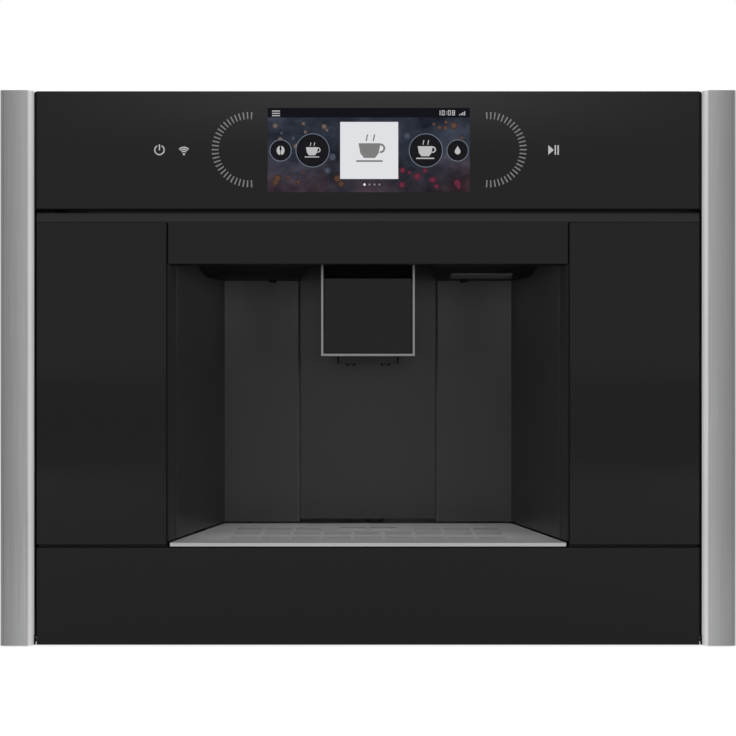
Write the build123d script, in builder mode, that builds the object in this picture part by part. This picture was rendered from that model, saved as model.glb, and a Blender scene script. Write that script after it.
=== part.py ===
"""Built-in coffee machine: a steel chassis behind a glass front with an open cup niche.

Millimetres.  +Z is up, the front faces -Y, and the origin lies under the middle of the
footprint, on the shelf that the glides stand on.
"""

from build123d import *
import os
from math import cos, hypot, pi, radians, sin

os.makedirs("parts", exist_ok=True)

# ---------------------------------------------------------------------------
# Driving dimensions
# ---------------------------------------------------------------------------
# Overall
front_width = 596.0
front_height = 450.0
front_projection = 21.0  # how far the front stands out of the cabinet
front_overlap = 19.0  # of the front over the cabinet at each side
body_depth = 356.0
glide_height = 4.0
front_drop = 3.0  # the front hangs this far below the chassis floor
front_rise = 2.0  # and stands this far above the chassis top
sheet = 1.0
screw_radius = 2.0
screw_length = 6.0
screw_head_height = 1.6
screw_head_radius = 3.6

# Clearances
panel_fit = 0.2  # between glued or clipped panels that lie side by side
slide_fit = 0.5  # round pieces that lift or slide by hand
shaft_fit = 0.05  # radial, round a turning shaft
seat_gap = 0.3  # under a piece that turns or slides on its seat

# Side trims
trim_width = 26.7
trim_proud = 4.0  # the trims stand this far in front of the glass
trim_wall = 1.5
trim_bevel_width = 5.0
trim_bevel_depth = 4.2
trim_flange = 23.5
trim_edge = 1.5
trim_line_width = 0.9
trim_line_depth = 0.5

# Glass front
glass = 4.0
glass_edge = 0.5
door_side_gap = 1.8
control_height = 95.8
control_gap = 2.7
top_strip_height = 7.8
top_strip_lean = 3.0
bottom_glass_height = 79.0
lintel_height = 33.7
seam = 0.4
bottom_seam = 2.4
side_seam = 1.3
side_glass_width = 105.8
display_width = 165.0
display_height = 69.0
display_depth = 10.0
display_drop = 48.1  # from the top of the front to the middle of the display
carrier_wall = 3.0
board = 1.6
board_margin = 4.0

# Cup niche
niche_taper = 31.0  # each side wall comes in by this much towards the back
niche_depth = 140.0
niche_wall = 2.0
niche_foot_gap = 1.5  # walls end this far above the grate
centre_cover_half = 62.7
centre_cover_lift = 4.3
groove = 1.1
back_wall = 2.5

# Door
door_back_gap = 1.0
door_bottom_gap = 3.0
reveal_lip = 1.0
rib = 3.0
pocket_depth = 8.0
hinge_inset = 11.0  # far enough in for the open door to clear the trim
hinge_back = 7.5
door_angle = 110.0
pin_radius = 2.5
pin_depth = 13.0
lug_thickness = 2.0
lug_width = 22.0
striker_size = 24.0
striker_thickness = 1.5

# Ceiling of the niche
ceiling_drop = 4.8  # flat part of the ceiling below the lintel's lower edge
nose_front = 65.0
nose_back = 98.0
nose_rise = 12.2
shaft_front_half = 54.5
shaft_back_half = 64.0
ceiling_plate = 2.0
peg_offset = 87.0
peg_radius = 3.0
peg_depth = 2.0
lens_side_gap = 14.2  # to the niche's side wall
lens_inner_gap = 8.7  # to the outlet's shaft
lens_width = 18.0
lens_thickness = 4.0
lens_fit = 0.15

# Coffee outlet
outlet_width = 79.5
outlet_front = 40.0  # depth of its front behind the glass
outlet_depth = 60.0
outlet_drop = 74.7  # its lower edge below the lintel
outlet_height = 179.0
outlet_bar = 2.4
outlet_frame_depth = 12.0
face_height = 63.4
face_thickness = 3.0
face_recess = 0.4
outlet_wall = 2.5
outlet_travel = 80.0
nozzle_block_half = 26.6
nozzle_block_height = 6.0
nozzle_block_depth = 34.0
nozzle_offset = 15.0
nozzle_radius = 4.5
nozzle_bore = 2.6
nozzle_length = 8.0
rail_radius = 4.0
rail_offset = 30.0
rail_back = 112.0
shoe_height = 26.0
shoe_width = 18.0
rail_foot = 4.0

# Grate, tray, float and grounds
grate_top = 83.9
grate_sheet = 1.2
grate_rim_height = 2.9
grate_rim = 1.5
grate_corner = 1.5
slot_length = 22.0
slot_width = 3.0
slot_pitch = 26.0
slot_margin = 16.0
slot_row_gap = 6.0
slot_band_first = 33.0
slot_band_pitch = 31.5
window_length = 22.2
window_width = 12.0
window_offset = 13.6
tray_wall = 2.0
tray_inset = 2.6
tray_front = 20.0
tray_back = 136.0
float_length = 22.0
float_width = 14.0
float_height = 12.0
float_stem_length = 15.0
float_stem_width = 5.0
float_travel = 10.0
grounds_length = 88.0
grounds_depth = 84.0
grounds_height = 66.0
grounds_wall = 1.8
grounds_corner = 8.0

# Front frame
compartment_width = 104.0
compartment_edge = 6.0  # sheet left between a compartment's mouth and the chassis side
sill_height = 8.0
rail_height = 22.0  # cross rail between the compartments and the control panel
hem_width = 9.0
fixing_radius = 2.25
fixing_depth = 17.5
fixing_foot = 56.0
fixing_head = 59.0
trim_screw_end = 40.5
switch_inset = 54.5  # from the door's right edge
magnet_inset = 17.5

# Water
tank_depth = 190.0
tank_height = 150.0
tank_wall = 2.0
tank_corner = 9.0
tank_front = 24.5  # behind the glass
tank_side_gap = 2.0
lid_thickness = 3.0
pump_radius = 18.0
pump_length = 62.0
hose_outer = 3.0
hose_inner = 1.6
hose_bend = 16.0
meter_radius = 17.0
meter_side_gap = 3.0  # to the tank
heater_width = 96.0
heater_depth = 60.0
heater_height = 44.0

# Coffee
hopper_depth = 140.0
hopper_gap = 4.5  # under the mains switch
hopper_side_gap = 3.0
hopper_wall = 2.0
hopper_rim = 12.0  # straight part at the top
hopper_throat = 31.0  # half its width where it stands on the grinder
gear_module = 1.0
burr_teeth = 60
pinion_teeth = 15
gear_width = 8.0
gear_play = 0.1
gearbox_wall = 3.0
gearbox_height = 20.0
grinder_radius = 38.0
grinder_bore = 30.0
grinder_height = 48.0
burr_hub = 8.0
burr_shaft = 6.0
burr_radius = 24.0
grinder_motor_radius = 22.0
grinder_motor_length = 60.0
motor_shaft = 2.5
drawer_width = 60.0
drawer_depth = 48.0
drawer_height = 18.0

# Brew unit
brew_width = 84.0
brew_depth = 98.0
brew_height = 181.0
brew_plate = 4.0
brew_rib = 3.0
chamber_shelf = 49.0
chamber_radius = 24.3
chamber_wall = 2.7
chamber_height = 54.0
piston_fit = 0.3
piston_height = 16.0
piston_lift = 4.0  # above the chamber at rest
stem_radius = 7.0
arm_thickness = 8.0
piston_travel = 30.0
spindle_radius = 4.0
spindle_offset = 40.0
nut_radius = 9.0
coupling_radius = 11.0
coupling_height = 20.0
spindle_motor_radius = 13.0
spindle_motor_length = 38.0

# ---------------------------------------------------------------------------
# Places worked out from the dimensions
# ---------------------------------------------------------------------------
body_bottom = glide_height
front_bottom = body_bottom - front_drop
front_top = front_bottom + front_height
body_top = front_top - front_rise
body_height = body_top - body_bottom
body_width = front_width - 2 * front_overlap
y_front = -(front_projection + body_depth) / 2
y_glass = y_front + trim_proud
y_flange = y_front + front_projection
y_inside = y_flange + sheet
y_rear = y_flange + body_depth - screw_head_height
y_rear_inside = y_rear - sheet
floor_top = body_bottom + sheet
body_half = body_width / 2
inner_half = body_half - sheet

panel_half = front_width / 2 - trim_width - door_side_gap
control_bottom = front_top - control_height
door_top = control_bottom - control_gap
strip_bottom = door_top - top_strip_height
bottom_glass_top = front_bottom + bottom_glass_height
side_glass_bottom = bottom_glass_top + bottom_seam
side_glass_top = strip_bottom - seam
lintel_bottom = side_glass_top - lintel_height
side_glass_inner = panel_half - side_glass_width
niche_mouth_half = side_glass_inner - side_seam - panel_fit
niche_back_half = niche_mouth_half - niche_taper
glass_back = y_glass + glass
door_back = y_flange - door_back_gap
rail_bottom = door_top - rail_height

grate_bottom = grate_top - grate_rim_height
niche_foot = grate_top + niche_foot_gap
ceiling_flat = lintel_bottom - ceiling_drop
ceiling_top = control_bottom - rail_height / 2
outlet_bottom = lintel_bottom - outlet_drop
outlet_top = outlet_bottom + outlet_height
outlet_half = outlet_width / 2

hinge_x = -panel_half + hinge_inset
hinge_y = y_glass + hinge_back
lug_radius = hinge_back - glass - seat_gap
# behind the front frame, the open door's edge reaches this far to the right
swing_edge = hinge_x + hinge_inset * sin(radians(door_angle - 90)) + slide_fit

mouth_outer = inner_half - compartment_edge
mouth_inner = mouth_outer - compartment_width
column_x = (mouth_inner + mouth_outer) / 2 + 1.0  # middle of the right compartment's machinery
y_compartment = y_glass + tank_front
brew_front = y_compartment + 2
brew_back = brew_front + brew_depth
brew_top = floor_top + brew_height
shelf_top = floor_top + chamber_shelf + brew_plate
chamber_x = column_x - brew_width / 2 + chamber_radius + chamber_wall + 2
brew_y = brew_front + brew_depth / 2 - 4
spindle_x = chamber_x + spindle_offset
chamber_top = shelf_top + chamber_height
piston_bottom = chamber_top + piston_lift
arm_bottom = chamber_top + piston_travel + 4
display_z = front_top - display_drop


def y_at(depth):
    """World y of a place this deep behind the glass."""
    return y_glass + depth


def niche_half(depth):
    """Half the niche's inner width at this depth."""
    return niche_mouth_half - niche_taper * depth / niche_depth


def niche_plan(inset, near, far):
    """Corners of the niche's tapered plan between two depths, drawn in by an inset."""
    return [
        (-niche_half(near) + inset, y_at(near)),
        (niche_half(near) - inset, y_at(near)),
        (niche_half(far) - inset, y_at(far)),
        (-niche_half(far) + inset, y_at(far)),
    ]


def wall_plane(y):
    """Plane across the object at y: sketch x is world x, sketch y is world z, facing the front."""
    return Plane.XZ.offset(-y)


def gear_outline(teeth, phase):
    """Corner points of a spur gear with straight flanks; tooth 0 points at the phase angle."""
    pitch_radius = gear_module * teeth / 2
    root = pitch_radius - 1.2 * gear_module
    tip = pitch_radius + 0.85 * gear_module
    corners = ((-0.30, root), (-0.10, tip), (0.10, tip), (0.30, root))
    points = []
    for tooth in range(teeth):
        for share, radius in corners:
            angle = radians(phase + (tooth + share) * 360 / teeth)
            points.append((radius * cos(angle), radius * sin(angle)))
    return points


# ---------------------------------------------------------------------------
# Chassis
# ---------------------------------------------------------------------------
pan_front = y_inside + 4.0  # room for the lower hinge bracket
pan_depth = y_rear_inside - pan_front
pan_middle = pan_front + pan_depth / 2
pan_flange = 5.0
side_depth = y_rear - y_inside
side_middle = y_inside + side_depth / 2
vent_length = 46.0
vent_width = 4.0

with BuildPart() as base_pan:
    with BuildSketch(Plane.XY.offset(body_bottom)):
        with Locations((0, pan_middle)):
            Rectangle(2 * inner_half, pan_depth)
    extrude(amount=pan_flange)
    # flanges stand up at the sides and the rear; the front stays open for the tray
    with BuildSketch(Plane.XY.offset(floor_top)):
        with Locations((0, pan_middle - sheet)):
            Rectangle(2 * (inner_half - sheet), pan_depth)
    extrude(amount=pan_flange, mode=Mode.SUBTRACT)
    with BuildSketch(Plane.XY.offset(body_bottom)):
        with Locations((0, y_rear_inside - 60)):
            with GridLocations(vent_length + 14, 14, 5, 3):
                Rectangle(vent_length, vent_width)
    extrude(amount=sheet, mode=Mode.SUBTRACT)
base_pan.part.label = "base_pan"
export_step(base_pan.part, "parts/base_pan.step")

# Two fixing holes near the front edge of each side take the screws into the cabinet's sides.
for side_name, side in (("left", -1), ("right", 1)):
    with BuildPart() as side_panel:
        with BuildSketch(Plane.YZ.offset(side * body_half)):
            with Locations((side_middle, body_bottom + body_height / 2)):
                Rectangle(side_depth, body_height)
            for row in (body_bottom + fixing_foot, body_top - fixing_head):
                with Locations((y_flange + fixing_depth, row)):
                    Circle(fixing_radius, mode=Mode.SUBTRACT)
            with Locations((y_rear - 90, body_top - 60)):
                with GridLocations(vent_length + 14, 12, 2, 5):
                    Rectangle(vent_length, vent_width, mode=Mode.SUBTRACT)
        extrude(amount=-side * sheet)
    side_panel.part.label = f"{side_name}_side_panel"
    export_step(side_panel.part, f"parts/{side_name}_side_panel.step")

with BuildPart() as top_panel:
    with BuildSketch(Plane.XY.offset(body_top - sheet)):
        with Locations((0, (y_inside + y_rear_inside) / 2)):
            Rectangle(2 * inner_half, y_rear_inside - y_inside)
        with Locations((0, y_rear_inside - 50)):
            with GridLocations(vent_length + 14, 12, 7, 4):
                Rectangle(vent_length, vent_width, mode=Mode.SUBTRACT)
        with Locations((0, y_inside + 110)):
            RectangleRounded(300, 90, 12, mode=Mode.SUBTRACT)
    extrude(amount=sheet)
    # Stiffening lid over the service opening, pressed down by its own thickness
    with BuildSketch(Plane.XY.offset(body_top - 2 * sheet)):
        with Locations((0, y_inside + 110)):
            RectangleRounded(312, 102, 14)
    extrude(amount=sheet)
top_panel.part.label = "top_panel"
export_step(top_panel.part, "parts/top_panel.step")

inlet_x = -inner_half + 78
inlet_z = body_bottom + 56
inlet_width = 28.0
inlet_height = 21.0
rear_screw_x = inner_half - 12
rear_screw_rows = (body_bottom + 14, body_bottom + body_height / 2, body_top - 14)

with BuildPart() as rear_panel:
    with BuildSketch(wall_plane(y_rear)):
        with Locations((0, body_bottom + body_height / 2)):
            Rectangle(2 * inner_half, body_height)
        with Locations((inlet_x, inlet_z)):
            Rectangle(inlet_width, inlet_height, mode=Mode.SUBTRACT)
        with Locations((120, body_top - 90), (-120, body_top - 90)):
            with GridLocations(vent_length + 14, 12, 3, 8):
                Rectangle(vent_length, vent_width, mode=Mode.SUBTRACT)
        for row in rear_screw_rows:
            with Locations((-rear_screw_x, row), (rear_screw_x, row)):
                Circle(screw_radius, mode=Mode.SUBTRACT)
    extrude(amount=sheet)
    # Two pressed ribs stiffen the lower half from inside
    with BuildSketch(wall_plane(y_rear_inside)):
        with Locations((60, body_bottom + 90), (60, body_bottom + 150)):
            SlotOverall(340, 14)
    extrude(amount=sheet, taper=20)
rear_panel.part.label = "rear_panel"
export_step(rear_panel.part, "parts/rear_panel.step")

switch_x = panel_half - switch_inset
switch_width = 21.0
switch_height = 13.0
switch_flange = 2.5
magnet_x = panel_half - magnet_inset
magnet_width = 18.0
magnet_height = 10.0
rail_middle = (rail_bottom + door_top) / 2
trim_screw_x = front_width / 2 - trim_width / 2
trim_screw_pitch = (front_height - 2 * trim_screw_end) / 3
trim_screw_rows = [front_bottom + trim_screw_end + trim_screw_pitch * row for row in range(4)]
lug_clear = 1.0
lug_left = hinge_x + 1.0
leg_middle = swing_edge + lug_width / 2
lug_low = front_bottom + panel_fit
lug_high = door_top + seam
mouth_bottom = floor_top + sill_height
mouth_middle = (mouth_inner + mouth_outer) / 2

with BuildPart() as front_frame:
    with BuildSketch(wall_plane(y_inside)) as frame_sheet:
        with Locations((0, (body_bottom + front_top - sheet) / 2)):
            Rectangle(front_width - 2 * sheet, front_top - sheet - body_bottom)
        # compartments left and right of the niche
        for side in (-1, 1):
            with Locations((side * mouth_middle, (mouth_bottom + rail_bottom) / 2)):
                Rectangle(mouth_outer - mouth_inner, rail_bottom - mouth_bottom, mode=Mode.SUBTRACT)
        # niche and drip tray
        frame_mouth = niche_half(front_projection - trim_proud) + panel_fit
        with Locations((0, (floor_top + ceiling_top) / 2)):
            Rectangle(2 * frame_mouth, ceiling_top - floor_top, mode=Mode.SUBTRACT)
        # wiring opening behind the display
        with Locations((0, display_z)):
            Rectangle(display_width + 20, display_height - 20, mode=Mode.SUBTRACT)
        # the door's edge swings back through the frame above and below the left compartment
        with Locations(((swing_edge - mouth_outer) / 2, (body_bottom + lug_high) / 2)):
            Rectangle(mouth_outer + swing_edge, lug_high - body_bottom, mode=Mode.SUBTRACT)
        # slot for the upper hinge lug
        with Locations(((lug_left + swing_edge + lug_width) / 2, lug_high + lug_thickness / 2)):
            Rectangle(
                swing_edge + lug_width - lug_left + 2 * panel_fit,
                lug_thickness + 2 * panel_fit,
                mode=Mode.SUBTRACT,
            )
        with Locations((switch_x, rail_middle)):
            Rectangle(switch_width, switch_height, mode=Mode.SUBTRACT)
        with Locations((magnet_x, rail_middle)):
            Rectangle(magnet_width, magnet_height, mode=Mode.SUBTRACT)
    extrude(amount=sheet)
    # the side edges are folded back on themselves and lie against the cabinet's front edges
    with BuildSketch(wall_plane(y_inside + sheet)):
        for side in (-1, 1):
            hem_middle = side * (front_width / 2 - sheet - hem_width / 2)
            with Locations((hem_middle, (body_bottom + front_top - sheet) / 2)):
                Rectangle(hem_width, front_top - sheet - body_bottom)
    extrude(amount=sheet)
    # countersunk holes for the screws that hold the trims
    with BuildSketch(wall_plane(y_inside)):
        for row in trim_screw_rows:
            with Locations((-trim_screw_x, row), (trim_screw_x, row)):
                Circle(screw_radius + sheet)
    extrude(amount=sheet, taper=45, mode=Mode.SUBTRACT)
front_frame.part.label = "front_frame"
export_step(front_frame.part, "parts/front_frame.step")

glide_radius = 14.0
glide_x = inner_half - 30
glide_front = y_inside + 34
glide_rear = y_rear - 34

with BuildPart() as base_glides:
    for glide_y in (glide_front, glide_rear):
        for side in (-1, 1):
            with BuildSketch(Plane.XY):
                with Locations((side * glide_x, glide_y)):
                    Circle(glide_radius)
            extrude(amount=glide_height, taper=8)
base_glides.part.label = "base_glides"
export_step(base_glides.part, "parts/base_glides.step")

with BuildPart() as casing_screws:
    for row in rear_screw_rows:
        for side in (-1, 1):
            with BuildSketch(wall_plane(y_rear)):
                with Locations((side * rear_screw_x, row)):
                    Circle(screw_radius)
            extrude(amount=screw_length)
            with BuildSketch(wall_plane(y_rear + screw_head_height)):
                with Locations((side * rear_screw_x, row)):
                    Circle(screw_head_radius)
            extrude(amount=screw_head_height)
    for row in trim_screw_rows:
        for side in (-1, 1):
            with BuildSketch(wall_plane(y_inside)):
                with Locations((side * trim_screw_x, row)):
                    Circle(screw_radius + sheet)
            extrude(amount=sheet, taper=45)
            with BuildSketch(wall_plane(y_flange)):
                with Locations((side * trim_screw_x, row)):
                    Circle(screw_radius)
            extrude(amount=trim_wall)
casing_screws.part.label = "casing_screws"
export_step(casing_screws.part, "parts/casing_screws.step")

# ---------------------------------------------------------------------------
# Side trims: bent steel profiles, open at the back so that the door's edge can swing
# ---------------------------------------------------------------------------
trim_outer = front_width / 2
trim_inner = trim_outer - trim_width
bevel_length = hypot(trim_bevel_width, trim_bevel_depth)
bevel_in_x = trim_wall * trim_bevel_depth / bevel_length
bevel_in_y = trim_wall * trim_bevel_width / bevel_length
bevel_slope = trim_bevel_width / trim_bevel_depth
bevel_end = y_front + trim_bevel_depth + bevel_in_y
line_outer = trim_outer - trim_edge - trim_line_width
trim_outline = (
    (trim_outer, y_front + trim_edge),
    (trim_outer - trim_edge, y_front),
    (line_outer, y_front),
    (line_outer, y_front + trim_line_depth),
    (line_outer - trim_line_width, y_front + trim_line_depth),
    (line_outer - trim_line_width, y_front),
    (trim_inner + trim_bevel_width, y_front),
    (trim_inner, y_front + trim_bevel_depth),
    (trim_inner + bevel_in_x, bevel_end),
    (trim_inner + bevel_in_x + (bevel_end - y_front - trim_wall) * bevel_slope, y_front + trim_wall),
    (trim_outer - trim_wall, y_front + trim_wall),
    (trim_outer - trim_wall, y_flange - trim_wall),
    (trim_outer - trim_flange, y_flange - trim_wall),
    (trim_outer - trim_flange, y_flange),
    (trim_outer, y_flange),
)

for side_name, side in (("left", -1), ("right", 1)):
    with BuildPart() as trim:
        with BuildSketch(Plane.XY.offset(front_bottom)):
            Polygon(*[(side * x, y) for x, y in trim_outline])
        extrude(amount=front_height)
        with BuildSketch(wall_plane(y_flange)):
            for row in trim_screw_rows:
                with Locations((side * trim_screw_x, row)):
                    Circle(screw_radius)
        extrude(amount=trim_wall, mode=Mode.SUBTRACT)
    trim.part.label = f"{side_name}_trim"
    export_step(trim.part, f"parts/{side_name}_trim.step")

# ---------------------------------------------------------------------------
# Control panel
# ---------------------------------------------------------------------------
control_middle = control_bottom + control_height / 2

with BuildPart() as control_panel_glass:
    with BuildSketch(wall_plane(glass_back)):
        with Locations((0, control_middle)):
            Rectangle(2 * panel_half, control_height)
    extrude(amount=glass)
    chamfer(control_panel_glass.edges().group_by(Axis.Y)[0], length=glass_edge)
control_panel_glass.part.label = "control_panel_glass"
export_step(control_panel_glass.part, "parts/control_panel_glass.step")

carrier_half = panel_half - 1.0
carrier_height = control_height - 2.0
bay_outer = carrier_half - carrier_wall
bay_inner = display_width / 2 + panel_fit + carrier_wall
bay_height = carrier_height - 2 * carrier_wall

with BuildPart() as control_panel_carrier:
    with BuildSketch(wall_plane(y_flange)):
        with Locations((0, control_middle)):
            Rectangle(2 * carrier_half, carrier_height)
            Rectangle(2 * (bay_inner - carrier_wall), bay_height, mode=Mode.SUBTRACT)
        for side in (-1, 1):
            with Locations((side * (bay_inner + bay_outer) / 2, control_middle)):
                Rectangle(bay_outer - bay_inner, bay_height, mode=Mode.SUBTRACT)
    extrude(amount=y_flange - glass_back)
control_panel_carrier.part.label = "control_panel_carrier"
export_step(control_panel_carrier.part, "parts/control_panel_carrier.step")

with BuildPart() as display_module:
    with BuildSketch(wall_plane(glass_back + display_depth)):
        with Locations((0, display_z)):
            Rectangle(display_width, display_height)
    extrude(amount=display_depth)
    with BuildSketch(wall_plane(glass_back + display_depth + 1.5)):
        with Locations((0, display_z)):
            RectangleRounded(display_width - 30, display_height - 26, 4)
    extrude(amount=1.5)
display_module.part.label = "display_module"
export_step(display_module.part, "parts/display_module.step")

board_middle = (bay_inner + bay_outer) / 2
board_width = bay_outer - bay_inner - board_margin
with BuildPart() as touch_boards:
    for side in (-1, 1):
        with BuildSketch(wall_plane(glass_back + board)):
            with Locations((side * board_middle, control_middle)):
                Rectangle(board_width, bay_height - board_margin)
        extrude(amount=board)
        with BuildSketch(wall_plane(glass_back + board + 3)):
            with Locations((side * board_middle, control_middle)):
                with GridLocations(board_width / 4, bay_height / 3, 3, 2):
                    Rectangle(14, 9)
        extrude(amount=3)
touch_boards.part.label = "touch_boards"
export_step(touch_boards.part, "parts/touch_boards.step")

# ---------------------------------------------------------------------------
# Door: glass panels on a ribbed frame that also forms the front of the niche
# ---------------------------------------------------------------------------
side_glass_middle = (panel_half + side_glass_inner) / 2
side_glass_height = side_glass_top - side_glass_bottom

for side_name, side in (("left", -1), ("right", 1)):
    with BuildPart() as side_glass:
        with BuildSketch(wall_plane(glass_back)):
            with Locations((side * side_glass_middle, side_glass_bottom + side_glass_height / 2)):
                Rectangle(panel_half - side_glass_inner, side_glass_height)
        extrude(amount=glass)
        chamfer(side_glass.edges().group_by(Axis.Y)[0], length=glass_edge)
    side_glass.part.label = f"door_{side_name}_glass"
    export_step(side_glass.part, f"parts/door_{side_name}_glass.step")

with BuildPart() as door_lintel_glass:
    with BuildSketch(wall_plane(glass_back)):
        with Locations((0, lintel_bottom + lintel_height / 2)):
            Rectangle(2 * (niche_mouth_half + panel_fit), lintel_height)
    extrude(amount=glass)
    chamfer(door_lintel_glass.edges().group_by(Axis.Y)[0], length=glass_edge / 2)
door_lintel_glass.part.label = "door_lintel_glass"
export_step(door_lintel_glass.part, "parts/door_lintel_glass.step")

with BuildPart() as door_bottom_glass:
    with BuildSketch(wall_plane(glass_back)):
        with Locations((0, front_bottom + bottom_glass_height / 2)):
            Rectangle(2 * panel_half, bottom_glass_height)
    extrude(amount=glass)
    chamfer(door_bottom_glass.edges().group_by(Axis.Y)[0], length=glass_edge)
door_bottom_glass.part.label = "door_bottom_glass"
export_step(door_bottom_glass.part, "parts/door_bottom_glass.step")

with BuildPart() as door_top_strip:
    with BuildSketch(Plane.YZ):
        Polygon(
            (y_glass, strip_bottom),
            (glass_back, strip_bottom),
            (glass_back, door_top),
            (y_glass + top_strip_lean, door_top),
            (y_glass, strip_bottom + glass_edge),
        )
    extrude(amount=panel_half, both=True)
    chamfer(door_top_strip.edges().filter_by(Axis.Z).group_by(Axis.Y)[0], length=glass_edge)
door_top_strip.part.label = "door_top_strip"
export_step(door_top_strip.part, "parts/door_top_strip.step")

door_half = panel_half - 1.0
door_frame_bottom = front_bottom + door_bottom_gap
door_frame_top = door_top - seam
opening_half = side_glass_inner + panel_fit
pocket_left = hinge_x + pin_radius + 2 * rib
pocket_right = door_half - rib
reveal_end = door_back - y_glass


def pocket_grid(x_low, x_high, z_low, z_high, columns, rows):
    """Rib pockets that fill a rectangle, a rib apart, in the sketch that is open."""
    pitch_x = (x_high - x_low + rib) / columns
    pitch_z = (z_high - z_low + rib) / rows
    with Locations(((x_low + x_high) / 2, (z_low + z_high) / 2)):
        with GridLocations(pitch_x, pitch_z, columns, rows):
            Rectangle(pitch_x - rib, pitch_z - rib)


with BuildPart() as door_frame:
    with BuildSketch(wall_plane(door_back)):
        with Locations((0, (door_frame_bottom + door_frame_top) / 2)):
            Rectangle(2 * door_half, door_frame_top - door_frame_bottom)
        with Locations((0, (bottom_glass_top + lintel_bottom) / 2)):
            Rectangle(2 * opening_half, lintel_bottom - bottom_glass_top, mode=Mode.SUBTRACT)
        # the lower moulding, behind the bottom glass, meets the upper one level with its top
        with Locations((0, bottom_glass_top - panel_fit / 2)):
            Rectangle(2 * door_half, panel_fit, mode=Mode.SUBTRACT)
    extrude(amount=door_back - glass_back)
    # the back edge is rounded about the hinge pin, so that it clears the front frame as it turns
    fillet(
        door_frame.edges().filter_by(Axis.Z).group_by(Axis.X)[0].group_by(Axis.Y)[-1],
        radius=door_half + hinge_x,
    )
    # ribs: pockets from the back
    with BuildSketch(wall_plane(door_back)):
        pocket_grid(pocket_left, -opening_half - rib, bottom_glass_top + rib, lintel_bottom, 2, 5)
        pocket_grid(opening_half + rib, pocket_right, bottom_glass_top + rib, lintel_bottom, 2, 5)
        pocket_grid(pocket_left, pocket_right, door_frame_bottom + rib, bottom_glass_top - rib, 11, 2)
        pocket_grid(pocket_left, switch_x - switch_width, lintel_bottom + rib, door_frame_top - rib, 9, 1)
    extrude(amount=pocket_depth, mode=Mode.SUBTRACT)
    # room for the rocker, and the seat of the striker plate
    with BuildSketch(wall_plane(door_back)):
        with Locations((switch_x, rail_middle)):
            Rectangle(switch_width + 2 * rib, switch_height + rib)
    extrude(amount=pocket_depth, mode=Mode.SUBTRACT)
    with BuildSketch(wall_plane(door_back)):
        with Locations((magnet_x, rail_middle)):
            Rectangle(striker_size, magnet_height + rib)
    extrude(amount=striker_thickness, mode=Mode.SUBTRACT)
    # hinge bores
    for start, depth in ((door_frame_bottom, pin_depth), (door_frame_top, -pin_depth)):
        with BuildSketch(Plane.XY.offset(start)):
            with Locations((hinge_x, hinge_y)):
                Circle(pin_radius + shaft_fit)
        extrude(amount=depth, mode=Mode.SUBTRACT)
    # reveals: strips clipped into the opening, the front of the niche's side walls
    with BuildSketch(Plane.XY.offset(niche_foot)):
        for side in (-1, 1):
            Polygon(
                (side * niche_mouth_half, y_glass + panel_fit),
                (side * (niche_mouth_half + reveal_lip), y_glass + panel_fit),
                (side * (niche_mouth_half + reveal_lip), glass_back),
                (side * side_glass_inner, glass_back),
                (side * side_glass_inner, door_back),
                (side * niche_half(reveal_end), door_back),
            )
    extrude(amount=lintel_bottom - panel_fit - niche_foot)
door_frame.part.label = "door_frame"
export_step(door_frame.part, "parts/door_frame.step")

with BuildPart() as door_striker:
    with BuildSketch(wall_plane(door_back)):
        with Locations((magnet_x, rail_middle)):
            Rectangle(striker_size, magnet_height + rib)
    extrude(amount=striker_thickness)
door_striker.part.label = "door_striker"
export_step(door_striker.part, "parts/door_striker.step")

with BuildPart() as magnet_catch:
    with BuildSketch(wall_plane(y_inside + 8)):
        with Locations((magnet_x, rail_middle)):
            Rectangle(magnet_width + 6, magnet_height + 6)
    extrude(amount=8)
    with BuildSketch(wall_plane(y_inside)):
        with Locations((magnet_x, rail_middle)):
            Rectangle(magnet_width - panel_fit, magnet_height - panel_fit)
    extrude(amount=y_inside - door_back - seat_gap)
magnet_catch.part.label = "magnet_catch"
export_step(magnet_catch.part, "parts/magnet_catch.step")

# Each bracket is a lug under or over the door's corner with its pin, and a leg behind the frame.
with BuildPart() as hinge_brackets:
    for lug_z, pin_end in (
        (lug_low, door_frame_bottom + pin_depth - seat_gap),
        (lug_high, door_frame_top - pin_depth + seat_gap),
    ):
        with BuildSketch(Plane.XY.offset(lug_z)):
            with Locations((hinge_x, hinge_y)):
                Circle(lug_radius)
            with Locations((lug_left + lug_radius, (hinge_y + y_inside + lug_clear) / 2)):
                Rectangle(2 * lug_radius, y_inside + lug_clear - hinge_y)
            with Locations((leg_middle, (y_flange + y_inside + 2 * lug_thickness) / 2)):
                Rectangle(lug_width, y_inside - y_flange + 2 * lug_thickness)
        extrude(amount=lug_thickness)
        with BuildSketch(Plane.XY.offset(lug_z + lug_thickness / 2)):
            with Locations((hinge_x, hinge_y)):
                Circle(pin_radius)
        extrude(amount=pin_end - lug_z - lug_thickness / 2)
        with BuildSketch(Plane.XY.offset(lug_z)):
            with Locations((leg_middle, y_inside + lug_thickness)):
                Rectangle(lug_width, 2 * lug_thickness)
        extrude(amount=sill_height + 2 * sheet)
hinge_brackets.part.label = "hinge_brackets"
export_step(hinge_brackets.part, "parts/hinge_brackets.step")

# ---------------------------------------------------------------------------
# Cup niche
# ---------------------------------------------------------------------------
liner_start = y_inside - y_glass

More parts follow.
